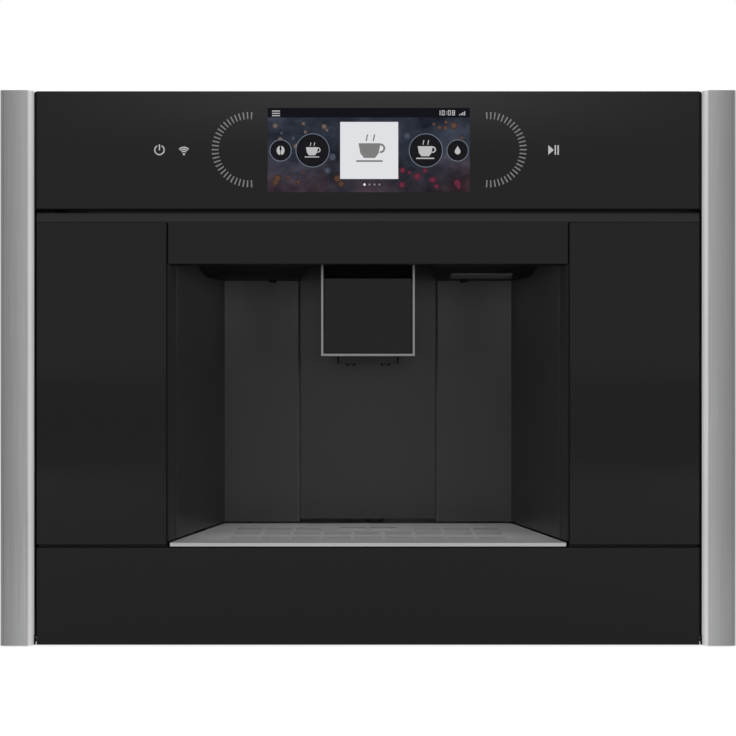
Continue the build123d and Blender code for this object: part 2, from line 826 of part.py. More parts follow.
for side_name, side in (("left", -1), ("right", 1)):
    with BuildPart() as liner:
        with BuildSketch(Plane.XY.offset(niche_foot)):
            Polygon(
                (side * niche_half(liner_start), y_at(liner_start)),
                (side * (niche_half(liner_start) + niche_wall), y_at(liner_start)),
                (side * (niche_half(niche_depth) + niche_wall), y_at(niche_depth)),
                (side * niche_half(niche_depth), y_at(niche_depth)),
            )
        extrude(amount=ceiling_top - niche_foot)
    liner.part.label = f"niche_{side_name}_wall"
    export_step(liner.part, f"parts/niche_{side_name}_wall.step")

# The back wall and its centre cover have chamfered edges, which meet in two V grooves.
with BuildPart() as niche_back_wall:
    with BuildSketch(wall_plane(y_at(niche_depth) + back_wall)):
        with Locations((0, (niche_foot + ceiling_top) / 2)):
            Rectangle(2 * (niche_back_half + niche_wall), ceiling_top - niche_foot)
            Rectangle(2 * (centre_cover_half + panel_fit / 2), ceiling_top - niche_foot, mode=Mode.SUBTRACT)
    extrude(amount=back_wall)
    groove_edges = niche_back_wall.edges().filter_by(Axis.Z).group_by(Axis.Y)[0]
    chamfer(groove_edges.filter_by(lambda edge: abs(edge.center().X) < niche_back_half - 1), length=groove)
    # a strap behind the cover joins both halves
    with BuildSketch(wall_plane(y_at(niche_depth) + 2 * back_wall)):
        with Locations((0, (niche_foot + centre_cover_lift + ceiling_top) / 2)):
            Rectangle(2 * centre_cover_half + 24, ceiling_top - niche_foot - centre_cover_lift)
    extrude(amount=back_wall)
niche_back_wall.part.label = "niche_back_wall"
export_step(niche_back_wall.part, "parts/niche_back_wall.step")

cover_bottom = grate_top + centre_cover_lift
with BuildPart() as niche_centre_cover:
    with BuildSketch(wall_plane(y_at(niche_depth) + back_wall)):
        with Locations((0, (cover_bottom + ceiling_top) / 2)):
            Rectangle(2 * centre_cover_half - panel_fit, ceiling_top - cover_bottom)
    extrude(amount=back_wall)
    chamfer(niche_centre_cover.edges().filter_by(Axis.Z).group_by(Axis.Y)[0], length=groove)
niche_centre_cover.part.label = "niche_centre_cover"
export_step(niche_centre_cover.part, "parts/niche_centre_cover.step")

lens_start = shaft_back_half + lens_inner_gap
lens_length = niche_half(nose_back) - lens_side_gap - lens_start

# Ceiling moulding: a plate with two rounded blocks left and right of the outlet's shaft
lens_near = nose_back + 2.0 - lens_width
lens_slope = (
    (y_at(nose_back + 2), ceiling_flat - 0.5),
    (y_at(lens_near), ceiling_flat + 2.0),
    (y_at(lens_near), ceiling_flat + 2.0 + lens_thickness),
    (y_at(nose_back + 2), ceiling_flat - 0.5 + lens_thickness),
)

with BuildPart() as niche_ceiling:
    with BuildSketch(Plane.XY.offset(ceiling_flat)):
        for side in (-1, 1):
            Polygon(
                (side * shaft_front_half, y_at(nose_front)),
                (side * niche_half(nose_front), y_at(nose_front)),
                (side * niche_half(niche_depth), y_at(niche_depth)),
                (side * shaft_back_half, y_at(niche_depth)),
            )
    extrude(amount=ceiling_top - ceiling_flat)
    with BuildSketch(Plane.YZ):
        with BuildLine():
            flat = Line((y_at(niche_depth), ceiling_flat), (y_at(nose_back), ceiling_flat))
            nose = TangentArc(flat @ 1, (y_at(nose_front), ceiling_flat + nose_rise), tangent=(-1, 0))
            Polyline(nose @ 1, (y_at(nose_front), ceiling_top), (y_at(niche_depth), ceiling_top), flat @ 0)
        make_face()
    extrude(amount=niche_mouth_half, both=True, mode=Mode.INTERSECT)
    with BuildSketch(Plane.XY.offset(ceiling_top)):
        Polygon(*niche_plan(0, liner_start, niche_depth))
        with Locations((0, y_at((outlet_front + niche_depth) / 2 - 5))):
            Rectangle(2 * shaft_front_half - 4, niche_depth - outlet_front + 10, mode=Mode.SUBTRACT)
    extrude(amount=ceiling_plate)
    with BuildSketch(Plane.XY.offset(ceiling_flat - peg_depth)):
        with Locations((-peg_offset, y_at(niche_depth - 9)), (peg_offset, y_at(niche_depth - 9))):
            Circle(peg_radius)
    extrude(amount=peg_depth)
    # the lens is glued to the roof of its pocket
    with BuildSketch(Plane.YZ.offset(lens_start - lens_fit)):
        Polygon(*lens_slope)
        Polygon(*[(y, z - lens_thickness) for y, z in lens_slope])
    extrude(amount=lens_length + 2 * lens_fit, mode=Mode.SUBTRACT)
niche_ceiling.part.label = "niche_ceiling"
export_step(niche_ceiling.part, "parts/niche_ceiling.step")

with BuildPart() as niche_lamp_lens:
    with BuildSketch(Plane.YZ.offset(lens_start)):
        Polygon(*lens_slope)
    extrude(amount=lens_length)
niche_lamp_lens.part.label = "niche_lamp_lens"
export_step(niche_lamp_lens.part, "parts/niche_lamp_lens.step")

# ---------------------------------------------------------------------------
# Coffee outlet on its two rails
# ---------------------------------------------------------------------------
y_outlet = y_at(outlet_front)
y_body = y_outlet + outlet_frame_depth
y_outlet_back = y_outlet + outlet_depth
face_top = outlet_bottom + outlet_bar + face_height
face_back = y_outlet + face_recess + face_thickness
inside_half = outlet_half - outlet_bar - panel_fit
y_rail = y_at(rail_back)
shoe_back = y_rail + rail_radius + 4
shoe_middle = (y_outlet_back + shoe_back) / 2

with BuildPart() as outlet_housing:
    with BuildSketch(Plane.XY.offset(outlet_bottom)):
        with Locations((0, (y_body + y_outlet_back) / 2)):
            Rectangle(outlet_width, y_outlet_back - y_body)
    extrude(amount=outlet_height)
    fillet(outlet_housing.edges().filter_by(Axis.Z).group_by(Axis.Y)[-1], radius=6)
    with BuildSketch(Plane.XY.offset(outlet_bottom + outlet_bar)):
        with Locations((0, (face_back + y_body) / 2)):
            Rectangle(2 * inside_half, y_body - face_back)
    extrude(amount=face_height)
    # the hollow that the milk and coffee hoses drop through, open at the top
    with BuildSketch(Plane.XY.offset(outlet_bottom + outlet_wall)):
        with Locations((0, (y_body + y_outlet_back) / 2)):
            Rectangle(outlet_width - 2 * outlet_wall, y_outlet_back - y_body - 2 * outlet_wall)
    extrude(amount=outlet_height, mode=Mode.SUBTRACT)
    # two shoes behind the top run on the rails
    with BuildSketch(Plane.XY.offset(outlet_top - shoe_height)):
        with Locations((-rail_offset, shoe_middle), (rail_offset, shoe_middle)):
            Rectangle(shoe_width, shoe_back - y_outlet_back)
        with Locations((-rail_offset, y_rail), (rail_offset, y_rail)):
            Circle(rail_radius + shaft_fit, mode=Mode.SUBTRACT)
    extrude(amount=shoe_height)
outlet_housing.part.label = "outlet_housing"
export_step(outlet_housing.part, "parts/outlet_housing.step")

with BuildPart() as outlet_frame:
    with BuildSketch(wall_plane(y_body)):
        with Locations((0, (outlet_bottom + outlet_top) / 2)):
            Rectangle(outlet_width, outlet_height)
        with Locations((0, (outlet_bottom + outlet_bar + outlet_top) / 2)):
            Rectangle(outlet_width - 2 * outlet_bar, outlet_height - outlet_bar, mode=Mode.SUBTRACT)
    extrude(amount=outlet_frame_depth)
    chamfer(outlet_frame.faces().sort_by(Axis.Y)[0].outer_wire().edges(), length=0.4)
outlet_frame.part.label = "outlet_frame"
export_step(outlet_frame.part, "parts/outlet_frame.step")

with BuildPart() as outlet_face:
    with BuildSketch(wall_plane(face_back)):
        with Locations((0, outlet_bottom + outlet_bar + face_height / 2)):
            Rectangle(2 * inside_half, face_height)
    extrude(amount=face_thickness)
    chamfer(outlet_face.edges().group_by(Axis.Y)[0], length=0.5)
outlet_face.part.label = "outlet_face"
export_step(outlet_face.part, "parts/outlet_face.step")

nozzle_y = y_body + nozzle_block_depth / 2
with BuildPart() as nozzle_block:
    with BuildSketch(Plane.XY.offset(outlet_bottom)):
        with Locations((0, nozzle_y)):
            RectangleRounded(2 * nozzle_block_half, nozzle_block_depth, 4)
    extrude(amount=-nozzle_block_height, taper=6)
    # a groove parts the two cups' sides
    with BuildSketch(Plane.XY.offset(outlet_bottom - nozzle_block_height)):
        with Locations((0, nozzle_y)):
            Rectangle(4, nozzle_block_depth)
    extrude(amount=nozzle_block_height / 2, mode=Mode.SUBTRACT)
    for side in (-1, 1):
        with BuildSketch(Plane.XY.offset(outlet_bottom)):
            with Locations((side * nozzle_offset, nozzle_y)):
                Circle(nozzle_radius)
        extrude(amount=-nozzle_length, taper=6)
        with BuildSketch(Plane.XY.offset(outlet_bottom - nozzle_length)):
            with Locations((side * nozzle_offset, nozzle_y)):
                Circle(nozzle_bore)
        extrude(amount=nozzle_length - 1, mode=Mode.SUBTRACT)
nozzle_block.part.label = "nozzle_block"
export_step(nozzle_block.part, "parts/nozzle_block.step")

rail_bottom_end = ceiling_flat - 2.0
with BuildPart() as outlet_rails:
    with BuildSketch(Plane.XY.offset(rail_bottom_end)):
        with Locations((-rail_offset, y_rail), (rail_offset, y_rail)):
            Circle(rail_radius)
    extrude(amount=body_top - 2 * sheet - rail_bottom_end)
    foot_front = y_rail - rail_radius - 2
    with BuildSketch(Plane.XY.offset(rail_bottom_end)):
        with Locations((0, (foot_front + y_at(niche_depth)) / 2)):
            Rectangle(2 * (rail_offset + rail_radius + 4), y_at(niche_depth) - foot_front)
    extrude(amount=-rail_foot)
outlet_rails.part.label = "outlet_rails"
export_step(outlet_rails.part, "parts/outlet_rails.step")

# ---------------------------------------------------------------------------
# Drip grate, tray, float and grounds container
# ---------------------------------------------------------------------------
window_depth = slot_band_first + 2 * slot_band_pitch + slot_row_gap - slot_width / 2
slots_each_side = int((niche_back_half - slot_margin - slot_length / 2) / slot_pitch)

with BuildPart() as drip_grate:
    with BuildSketch(Plane.XY.offset(grate_bottom)):
        Polygon(*niche_plan(slide_fit, 0, niche_depth - slide_fit))
    extrude(amount=grate_rim_height)
    fillet(drip_grate.edges().filter_by(Axis.Z).group_by(Axis.Y)[0], radius=grate_corner)
    with BuildSketch(Plane.XY.offset(grate_bottom)):
        Polygon(*niche_plan(slide_fit + grate_rim, grate_rim, niche_depth - slide_fit - grate_rim))
    extrude(amount=grate_rim_height - grate_sheet, mode=Mode.SUBTRACT)
    with BuildSketch(Plane.XY.offset(grate_bottom)):
        for band in range(3):
            band_depth = slot_band_first + band * slot_band_pitch
            for row in (-1, 0, 1):
                for column in range(-slots_each_side, slots_each_side + 1):
                    slot_x = column * slot_pitch
                    if band == 2 and abs(slot_x) < window_offset + window_length:
                        continue
                    with Locations((slot_x, y_at(band_depth + row * slot_row_gap))):
                        Rectangle(slot_length, slot_width)
        with Locations((-window_offset, y_at(window_depth)), (window_offset, y_at(window_depth))):
            Rectangle(window_length, window_width)
    extrude(amount=grate_rim_height, mode=Mode.SUBTRACT)
    # a low collar round each window
    with BuildSketch(Plane.XY.offset(grate_bottom)):
        with Locations((-window_offset, y_at(window_depth)), (window_offset, y_at(window_depth))):
            Rectangle(window_length + 2, window_width + 2)
            Rectangle(window_length, window_width, mode=Mode.SUBTRACT)
    extrude(amount=grate_rim_height + 0.6)
drip_grate.part.label = "drip_grate"
export_step(drip_grate.part, "parts/drip_grate.step")

float_x = -window_offset
float_y = y_at(window_depth)
well_wall = 2.0
tray_floor = floor_top + tray_wall
tray_top = grate_top - grate_sheet  # the grate's plate lies on the tray, its rim hangs round it

with BuildPart() as drip_tray:
    with BuildSketch(Plane.XY.offset(floor_top)):
        Polygon(*niche_plan(tray_inset, tray_front, tray_back))
    extrude(amount=tray_top - floor_top)
    with BuildSketch(Plane.XY.offset(tray_floor)):
        Polygon(*niche_plan(tray_inset + tray_wall, tray_front + tray_wall, tray_back - tray_wall))
    extrude(amount=tray_top, mode=Mode.SUBTRACT)
    # well that guides the float
    with BuildSketch(Plane.XY.offset(tray_floor)):
        with Locations((float_x, float_y)):
            Rectangle(float_length + 2 * (slide_fit + well_wall), float_width + 2 * (slide_fit + well_wall))
            Rectangle(float_length + 2 * slide_fit, float_width + 2 * slide_fit, mode=Mode.SUBTRACT)
            Rectangle(float_length / 2, 2 * float_width, mode=Mode.SUBTRACT)
    extrude(amount=float_height + float_travel)
    # grip recess in the tray's front
    with BuildSketch(wall_plane(y_at(tray_front))):
        with Locations((0, grate_bottom - 16)):
            SlotOverall(90, 20)
    extrude(amount=-0.8, mode=Mode.SUBTRACT)
drip_tray.part.label = "drip_tray"
export_step(drip_tray.part, "parts/drip_tray.step")

with BuildPart() as tray_float:
    with BuildSketch(Plane.XY.offset(tray_floor)):
        with Locations((float_x, float_y)):
            RectangleRounded(float_length, float_width, 2)
    extrude(amount=float_height)
    with BuildSketch(Plane.XY.offset(tray_floor)):
        with Locations((float_x, float_y)):
            Rectangle(float_stem_length, float_stem_width)
    extrude(amount=tray_top - tray_floor)
tray_float.part.label = "tray_float"
export_step(tray_float.part, "parts/tray_float.step")

grounds_x = niche_half(tray_back) - tray_inset - tray_wall - slide_fit - grounds_length / 2
grounds_y = y_at((tray_front + tray_back) / 2)

with BuildPart() as grounds_container:
    with BuildSketch(Plane.XY.offset(tray_floor)):
        with Locations((grounds_x, grounds_y)):
            RectangleRounded(grounds_length, grounds_depth, grounds_corner)
    extrude(amount=grounds_height)
    offset(amount=-grounds_wall, openings=grounds_container.faces().sort_by(Axis.Z)[-1])
grounds_container.part.label = "grounds_container"
export_step(grounds_container.part, "parts/grounds_container.step")

# ---------------------------------------------------------------------------
# Water side: tank on the left, pump and heater behind the niche
# ---------------------------------------------------------------------------
# the tank comes out past the open door's rounded back edge
tank_left = hinge_x + hinge_inset - slide_fit
tank_right = -mouth_inner - tank_side_gap
tank_width = tank_right - tank_left
tank_x = (tank_left + tank_right) / 2
tank_y = y_compartment + tank_depth / 2
tank_top = floor_top + tank_height

with BuildPart() as water_tank:
    with BuildSketch(Plane.XY.offset(floor_top)):
        with Locations((tank_x, tank_y)):
            RectangleRounded(tank_width, tank_depth, tank_corner)
    extrude(amount=tank_height)
    offset(amount=-tank_wall, openings=water_tank.faces().sort_by(Axis.Z)[-1])
    # grip across the front
    with BuildSketch(wall_plane(y_compartment + tank_wall)):
        with Locations((tank_x, tank_top - 28)):
            SlotOverall(tank_width - 30, 14)
    extrude(amount=tank_wall + 3.5)
water_tank.part.label = "water_tank"
export_step(water_tank.part, "parts/water_tank.step")

with BuildPart() as water_tank_lid:
    with BuildSketch(Plane.XY.offset(tank_top)):
        with Locations((tank_x, tank_y)):
            RectangleRounded(tank_width, tank_depth, tank_corner)
    extrude(amount=lid_thickness)
    with BuildSketch(Plane.XY.offset(tank_top)):
        with Locations((tank_x, tank_y)):
            RectangleRounded(
                tank_width - 2 * (tank_wall + slide_fit),
                tank_depth - 2 * (tank_wall + slide_fit),
                tank_corner - tank_wall - slide_fit,
            )
    extrude(amount=-lid_thickness)
    # finger notch at the front
    with BuildSketch(Plane.XY.offset(tank_top + lid_thickness)):
        with Locations((tank_x, y_compartment + 26)):
            SlotOverall(44, 16)
    extrude(amount=-lid_thickness, mode=Mode.SUBTRACT)
water_tank_lid.part.label = "water_tank_lid"
export_step(water_tank_lid.part, "parts/water_tank_lid.step")

meter_x = tank_right + meter_side_gap + meter_radius
meter_y = 70.0
meter_height = 22.0
meter_base = 34.0
with BuildPart() as flow_meter:
    with BuildSketch(Plane.XY.offset(floor_top)):
        with Locations((meter_x, meter_y)):
            Circle(8)
    extrude(amount=meter_base - floor_top)
    with BuildSketch(Plane.XY.offset(meter_base)):
        with Locations((meter_x, meter_y)):
            Circle(meter_radius)
    extrude(amount=meter_height)
    chamfer(flow_meter.faces().sort_by(Axis.Z)[-1].edges(), length=2)
flow_meter.part.label = "flow_meter"
export_step(flow_meter.part, "parts/flow_meter.step")

pump_x = -90.0
pump_y = 70.0
pump_z = 48.0
with BuildPart() as pump:
    with BuildSketch(Plane.YZ.offset(pump_x)):
        with Locations((pump_y, pump_z)):
            Circle(pump_radius)
    extrude(amount=pump_length)
    with BuildSketch(Plane.YZ.offset(pump_x + pump_length / 4)):
        with Locations((pump_y, pump_z)):
            RectangleRounded(2.3 * pump_radius, 2.3 * pump_radius, 4)
    extrude(amount=pump_length / 2)
    with BuildSketch(Plane.YZ.offset(pump_x - 10)):
        with Locations((pump_y, pump_z)):
            Circle(pump_radius / 3)
    extrude(amount=pump_length + 20)
    # rubber foot
    with BuildSketch(Plane.XY.offset(floor_top)):
        with Locations((pump_x + pump_length / 2, pump_y)):
            RectangleRounded(pump_length, 1.6 * pump_radius, 3)
    extrude(amount=pump_z - floor_top - 0.9 * pump_radius)
    with BuildSketch(Plane.XY.offset(floor_top)):
        with Locations((pump_x + pump_length / 2, pump_y)):
            Rectangle(pump_length / 2, pump_radius)
    extrude(amount=pump_z - floor_top)
pump.part.label = "pump"
export_step(pump.part, "parts/pump.step")

heater_x = 60.0
heater_y = 70.0
heater_z = 70.0
with BuildPart() as thermoblock:
    with BuildSketch(Plane.XY.offset(heater_z)):
        with Locations((heater_x, heater_y)):
            RectangleRounded(heater_width, heater_depth, 5)
    extrude(amount=heater_height)
    # cooling fins across the top
    with BuildSketch(Plane.XY.offset(heater_z + heater_height)):
        with Locations((heater_x, heater_y)):
            with GridLocations(12, 0, 7, 1):
                Rectangle(6, heater_depth)
    extrude(amount=-8, mode=Mode.SUBTRACT)
    # four legs to the base pan
    with BuildSketch(Plane.XY.offset(floor_top)):
        with Locations((heater_x, heater_y)):
            with GridLocations(heater_width - 16, heater_depth - 16, 2, 2):
                Circle(4)
    extrude(amount=heater_z - floor_top)
thermoblock.part.label = "thermoblock"
export_step(thermoblock.part, "parts/thermoblock.step")

tank_back = y_compartment + tank_depth
meter_inlet = meter_base + meter_height / 2
heater_left = heater_x - heater_width / 2
heater_right = heater_x + heater_width / 2
heater_middle = heater_z + 14
hose_runs = (
    (
        (tank_x, tank_back, meter_inlet),
        (tank_x, meter_y, meter_inlet),
        (meter_x - meter_radius, meter_y, meter_inlet),
    ),
    ((meter_x + meter_radius, meter_y, pump_z), (pump_x - 10, pump_y, pump_z)),
    (
        (pump_x + pump_length + 10, pump_y, pump_z),
        (-4, pump_y, pump_z),
        (-4, pump_y, heater_middle),
        (heater_left, heater_y, heater_middle),
    ),
    (
        (heater_right, heater_y, heater_middle),
        (column_x, heater_y, heater_middle),
        (column_x, brew_back, heater_middle),
    ),
)
with BuildPart() as water_hoses:
    for run in hose_runs:
        with BuildLine() as route:
            if len(run) > 2:
                shortest = min(hypot(*(b - a for a, b in zip(p, q))) for p, q in zip(run, run[1:]))
                FilletPolyline(*run, radius=min(hose_bend, 0.45 * shortest))
            else:
                Line(*run)
        with BuildSketch(Plane(origin=route.line @ 0, z_dir=route.line % 0)):
            Circle(hose_outer)
            Circle(hose_inner, mode=Mode.SUBTRACT)
        sweep(path=route.wire())
water_hoses.part.label = "water_hoses"
export_step(water_hoses.part, "parts/water_hoses.step")

power_board_width = 170.0
power_board_height = 130.0
standoff_inset = 7.0
standoff = 8.0
transformer_width = 46.0
transformer_height = 40.0
component_width = 16.0
component_height = 22.0
component_gap = 11.0
component_depth = 20.0
board_x = -inner_half + 118
board_z = body_top - 149
with BuildPart() as power_board:
    with BuildSketch(wall_plane(y_rear_inside - standoff)):
        with Locations((board_x, board_z)):
            Rectangle(power_board_width, power_board_height)
    extrude(amount=board)
    standoff_pitch_x = power_board_width - 2 * standoff_inset
    standoff_pitch_z = power_board_height - 2 * standoff_inset
    with BuildSketch(wall_plane(y_rear_inside)):
        with Locations((board_x, board_z)):
            with GridLocations(standoff_pitch_x, standoff_pitch_z, 2, 2):
                Circle(standoff / 2)
    extrude(amount=standoff)
    with BuildSketch(wall_plane(y_rear_inside - standoff - board)):
        with Locations((board_x - transformer_width - 4, board_z + transformer_height / 2)):
            Rectangle(transformer_width, transformer_height)
        with Locations((board_x + 2 * component_width - 2, board_z)):
            with GridLocations(component_width + component_gap, component_height + component_gap, 3, 3):
                Rectangle(component_width, component_height)
    extrude(amount=component_depth)
power_board.part.label = "power_board"
export_step(power_board.part, "parts/power_board.step")

# Appliance inlet: flanged socket body with three blades in its recess
with BuildPart() as power_inlet:
    with BuildSketch(wall_plane(y_rear)):
        with Locations((inlet_x, inlet_z)):
            Rectangle(inlet_width - 2 * panel_fit, inlet_height - 2 * panel_fit)
    extrude(amount=24)
    with BuildSketch(wall_plane(y_rear_inside)):
        with Locations((inlet_x, inlet_z)):
            RectangleRounded(inlet_width + 20, inlet_height + 4, 4)
    extrude(amount=3)
    with BuildSketch(wall_plane(y_rear)):
        with Locations((inlet_x, inlet_z)):
            Polygon((-11.5, -8), (11.5, -8), (11.5, 3.5), (7.5, 8), (-7.5, 8), (-11.5, 3.5))
    extrude(amount=16, mode=Mode.SUBTRACT)
    with BuildSketch(wall_plane(y_rear - 3)):
        with Locations((inlet_x - 7, inlet_z - 2), (inlet_x + 7, inlet_z - 2), (inlet_x, inlet_z + 2)):
            Rectangle(2, 4.5)
    extrude(amount=14)
power_inlet.part.label = "power_inlet"
export_step(power_inlet.part, "parts/power_inlet.step")

# ---------------------------------------------------------------------------
# Mains switch behind the door
# ---------------------------------------------------------------------------
rocker_pivot_y = y_inside + 4
rocker_width = switch_width - 5
rocker_height = switch_height - 5
rocker_front = 5.5
rocker_pin = 1.2
rocker_tilt = 7.0  # each way from upright; at rest it is switched off

with BuildPart() as mains_switch_body:
    with BuildSketch(wall_plane(y_inside + 18)):
        with Locations((switch_x, rail_middle)):
            Rectangle(switch_width + 2 * switch_flange, switch_height + 2 * switch_flange)
    extrude(amount=18)
    with BuildSketch(wall_plane(y_inside)):
        with Locations((switch_x, rail_middle)):
            Rectangle(switch_width - panel_fit, switch_height - panel_fit)
    extrude(amount=sheet)
    with BuildSketch(wall_plane(y_flange)):
        with Locations((switch_x, rail_middle)):
            Rectangle(rocker_width + 2 * seat_gap, rocker_height + 2)
    extrude(amount=-11, mode=Mode.SUBTRACT)
    with BuildSketch(Plane.YZ.offset(switch_x - rocker_width / 2 - 2)):
        with Locations((rocker_pivot_y, rail_middle)):
            Circle(rocker_pin + shaft_fit)
    extrude(amount=rocker_width + 4, mode=Mode.SUBTRACT)
mains_switch_body.part.label = "mains_switch_body"
export_step(mains_switch_body.part, "parts/mains_switch_body.step")

# In the rocker's own plane, x runs to the rear and y up, from the pivot.
rocker_plane = Plane(
    origin=(switch_x - rocker_width / 2, rocker_pivot_y, rail_middle),
    x_dir=(0, cos(radians(rocker_tilt)), sin(radians(rocker_tilt))),
    z_dir=(1, 0, 0),
)
rocker_half = rocker_height / 2

with BuildPart() as mains_rocker:
    with BuildSketch(rocker_plane):
        with BuildLine():
            lower_edge = (-rocker_front, -rocker_half)
            upper_edge = (-rocker_front, rocker_half)
            dished = ThreePointArc(lower_edge, (-rocker_front + 1, 0), upper_edge)
            Polyline(
                dished @ 1,
                (-rocker_front + 2.5, rocker_half),
                (2.0, 2.4),
                (2.0, -2.4),
                (-rocker_front + 2.5, -rocker_half),
                dished @ 0,
            )
        make_face()
    extrude(amount=rocker_width)
    with BuildSketch(rocker_plane.offset(-1.5)):
        Circle(rocker_pin)
    extrude(amount=rocker_width + 3)
mains_rocker.part.label = "mains_rocker"
export_step(mains_rocker.part, "parts/mains_rocker.step")

# ---------------------------------------------------------------------------
# Brew unit: a chamber on a shelf, and a piston that a spindle drives down into it
# ---------------------------------------------------------------------------
with BuildPart() as brew_frame:
    with BuildSketch(Plane.YZ.offset(column_x - brew_width / 2)):
        # open C: foot, back and top plate
        with Locations(((brew_front + brew_back) / 2, (floor_top + brew_top) / 2)):
            Rectangle(brew_depth, brew_height)
        with Locations(((brew_front + brew_back - brew_plate) / 2, (floor_top + brew_top) / 2)):
            Rectangle(brew_depth - brew_plate, brew_height - 2 * brew_plate, mode=Mode.SUBTRACT)
    extrude(amount=brew_width)
    with BuildSketch(Plane.XY.offset(shelf_top)):
        with Locations((column_x, (brew_front + brew_back) / 2)):
            Rectangle(brew_width, brew_depth)
        with Locations((spindle_x, brew_y)):
            Circle(spindle_radius + seat_gap, mode=Mode.SUBTRACT)
    extrude(amount=-brew_plate)
    # gussets under the shelf
    with BuildSketch(Plane.YZ.offset(column_x - brew_width / 2)):
        Polygon(
            (brew_back - brew_plate, floor_top + brew_plate),
            (brew_back - brew_plate, shelf_top - brew_plate),
            (brew_front + 20, shelf_top - brew_plate),
            (brew_back - 30, floor_top + brew_plate),
        )
    extrude(amount=brew_rib)
    # upper bearing of the spindle
    with BuildSketch(Plane.XY.offset(brew_top)):
        with Locations((spindle_x, brew_y)):
            Circle(spindle_radius + shaft_fit)
        with Locations((chamber_x, brew_y)):
            Circle(chamber_radius - 6)
    extrude(amount=-brew_plate, mode=Mode.SUBTRACT)
brew_frame.part.label = "brew_frame"
export_step(brew_frame.part, "parts/brew_frame.step")

with BuildPart() as brew_chamber:
    with BuildSketch(Plane.XY.offset(shelf_top)):
        with Locations((chamber_x, brew_y)):
            Circle(chamber_radius + chamber_wall)
    extrude(amount=chamber_height)
    with BuildSketch(Plane.XY.offset(shelf_top + 6)):
        with Locations((chamber_x, brew_y)):
            Circle(chamber_radius)
    extrude(amount=chamber_height, mode=Mode.SUBTRACT)
brew_chamber.part.label = "brew_chamber"
export_step(brew_chamber.part, "parts/brew_chamber.step")

with BuildPart() as brew_piston:
    with BuildSketch(Plane.XY.offset(piston_bottom)):
        with Locations((chamber_x, brew_y)):
            Circle(chamber_radius - piston_fit)
    extrude(amount=piston_height)
    # groove for the seal
    with BuildSketch(Plane.XY.offset(piston_bottom + 4)):
        with Locations((chamber_x, brew_y)):
            Circle(chamber_radius)
            Circle(chamber_radius - piston_fit - 1.5, mode=Mode.SUBTRACT)
    extrude(amount=3, mode=Mode.SUBTRACT)
    with BuildSketch(Plane.XY.offset(piston_bottom)):
        with Locations((chamber_x, brew_y)):
            Circle(stem_radius)
    extrude(amount=arm_bottom - piston_bottom + arm_thickness)
    with BuildSketch(Plane.XY.offset(arm_bottom)):
        with Locations((chamber_x, brew_y)):
            Circle(stem_radius + 3)
        with Locations((spindle_x, brew_y)):
            Circle(nut_radius)
        make_hull()
    extrude(amount=arm_thickness)
    with BuildSketch(Plane.XY.offset(arm_bottom)):
        with Locations((spindle_x, brew_y)):
            Circle(nut_radius)
    extrude(amount=2 * arm_thickness)
    with BuildSketch(Plane.XY.offset(arm_bottom)):
        with Locations((spindle_x, brew_y)):
            Circle(spindle_radius + shaft_fit)
    extrude(amount=2 * arm_thickness, mode=Mode.SUBTRACT)
brew_piston.part.label = "brew_piston"
export_step(brew_piston.part, "parts/brew_piston.step")

spindle_motor_top = shelf_top - brew_plate
with BuildPart() as brew_spindle:
    with BuildSketch(Plane.XY.offset(spindle_motor_top + seat_gap)):
        with Locations((spindle_x, brew_y)):
            Circle(spindle_radius)
    extrude(amount=brew_top - spindle_motor_top - seat_gap)
    # coupling to the motor at the lower end
    with BuildSketch(Plane.XY.offset(shelf_top + seat_gap)):
        with Locations((spindle_x, brew_y)):
            Circle(coupling_radius)
    extrude(amount=coupling_height)
brew_spindle.part.label = "brew_spindle"
export_step(brew_spindle.part, "parts/brew_spindle.step")

with BuildPart() as brew_motor:
    with BuildSketch(Plane.XY.offset(spindle_motor_top)):
        with Locations((spindle_x, brew_y)):
            Circle(spindle_motor_radius)
    extrude(amount=-spindle_motor_length)
    chamfer(brew_motor.faces().sort_by(Axis.Z)[0].edges(), length=1)
brew_motor.part.label = "brew_motor"
export_step(brew_motor.part, "parts/brew_motor.step")

# ---------------------------------------------------------------------------
# Grinder on top of the brew unit, its hopper above it and the powder drawer in front
# ---------------------------------------------------------------------------
gear_centres = gear_module * (burr_teeth + pinion_teeth) / 2 + gear_play
burr_pitch = gear_module * burr_teeth / 2
pinion_pitch = gear_module * pinion_teeth / 2
burr_x = column_x
burr_y = brew_back - 14.0
pinion_y = burr_y + gear_centres
gearbox_bottom = brew_top
gearbox_top = gearbox_bottom + gearbox_height
gear_bottom = gearbox_bottom + gearbox_wall + 2 * seat_gap
grinder_top = gearbox_top + grinder_height
box_big = burr_pitch + gear_module + 2
box_small = pinion_pitch + gear_module + 2

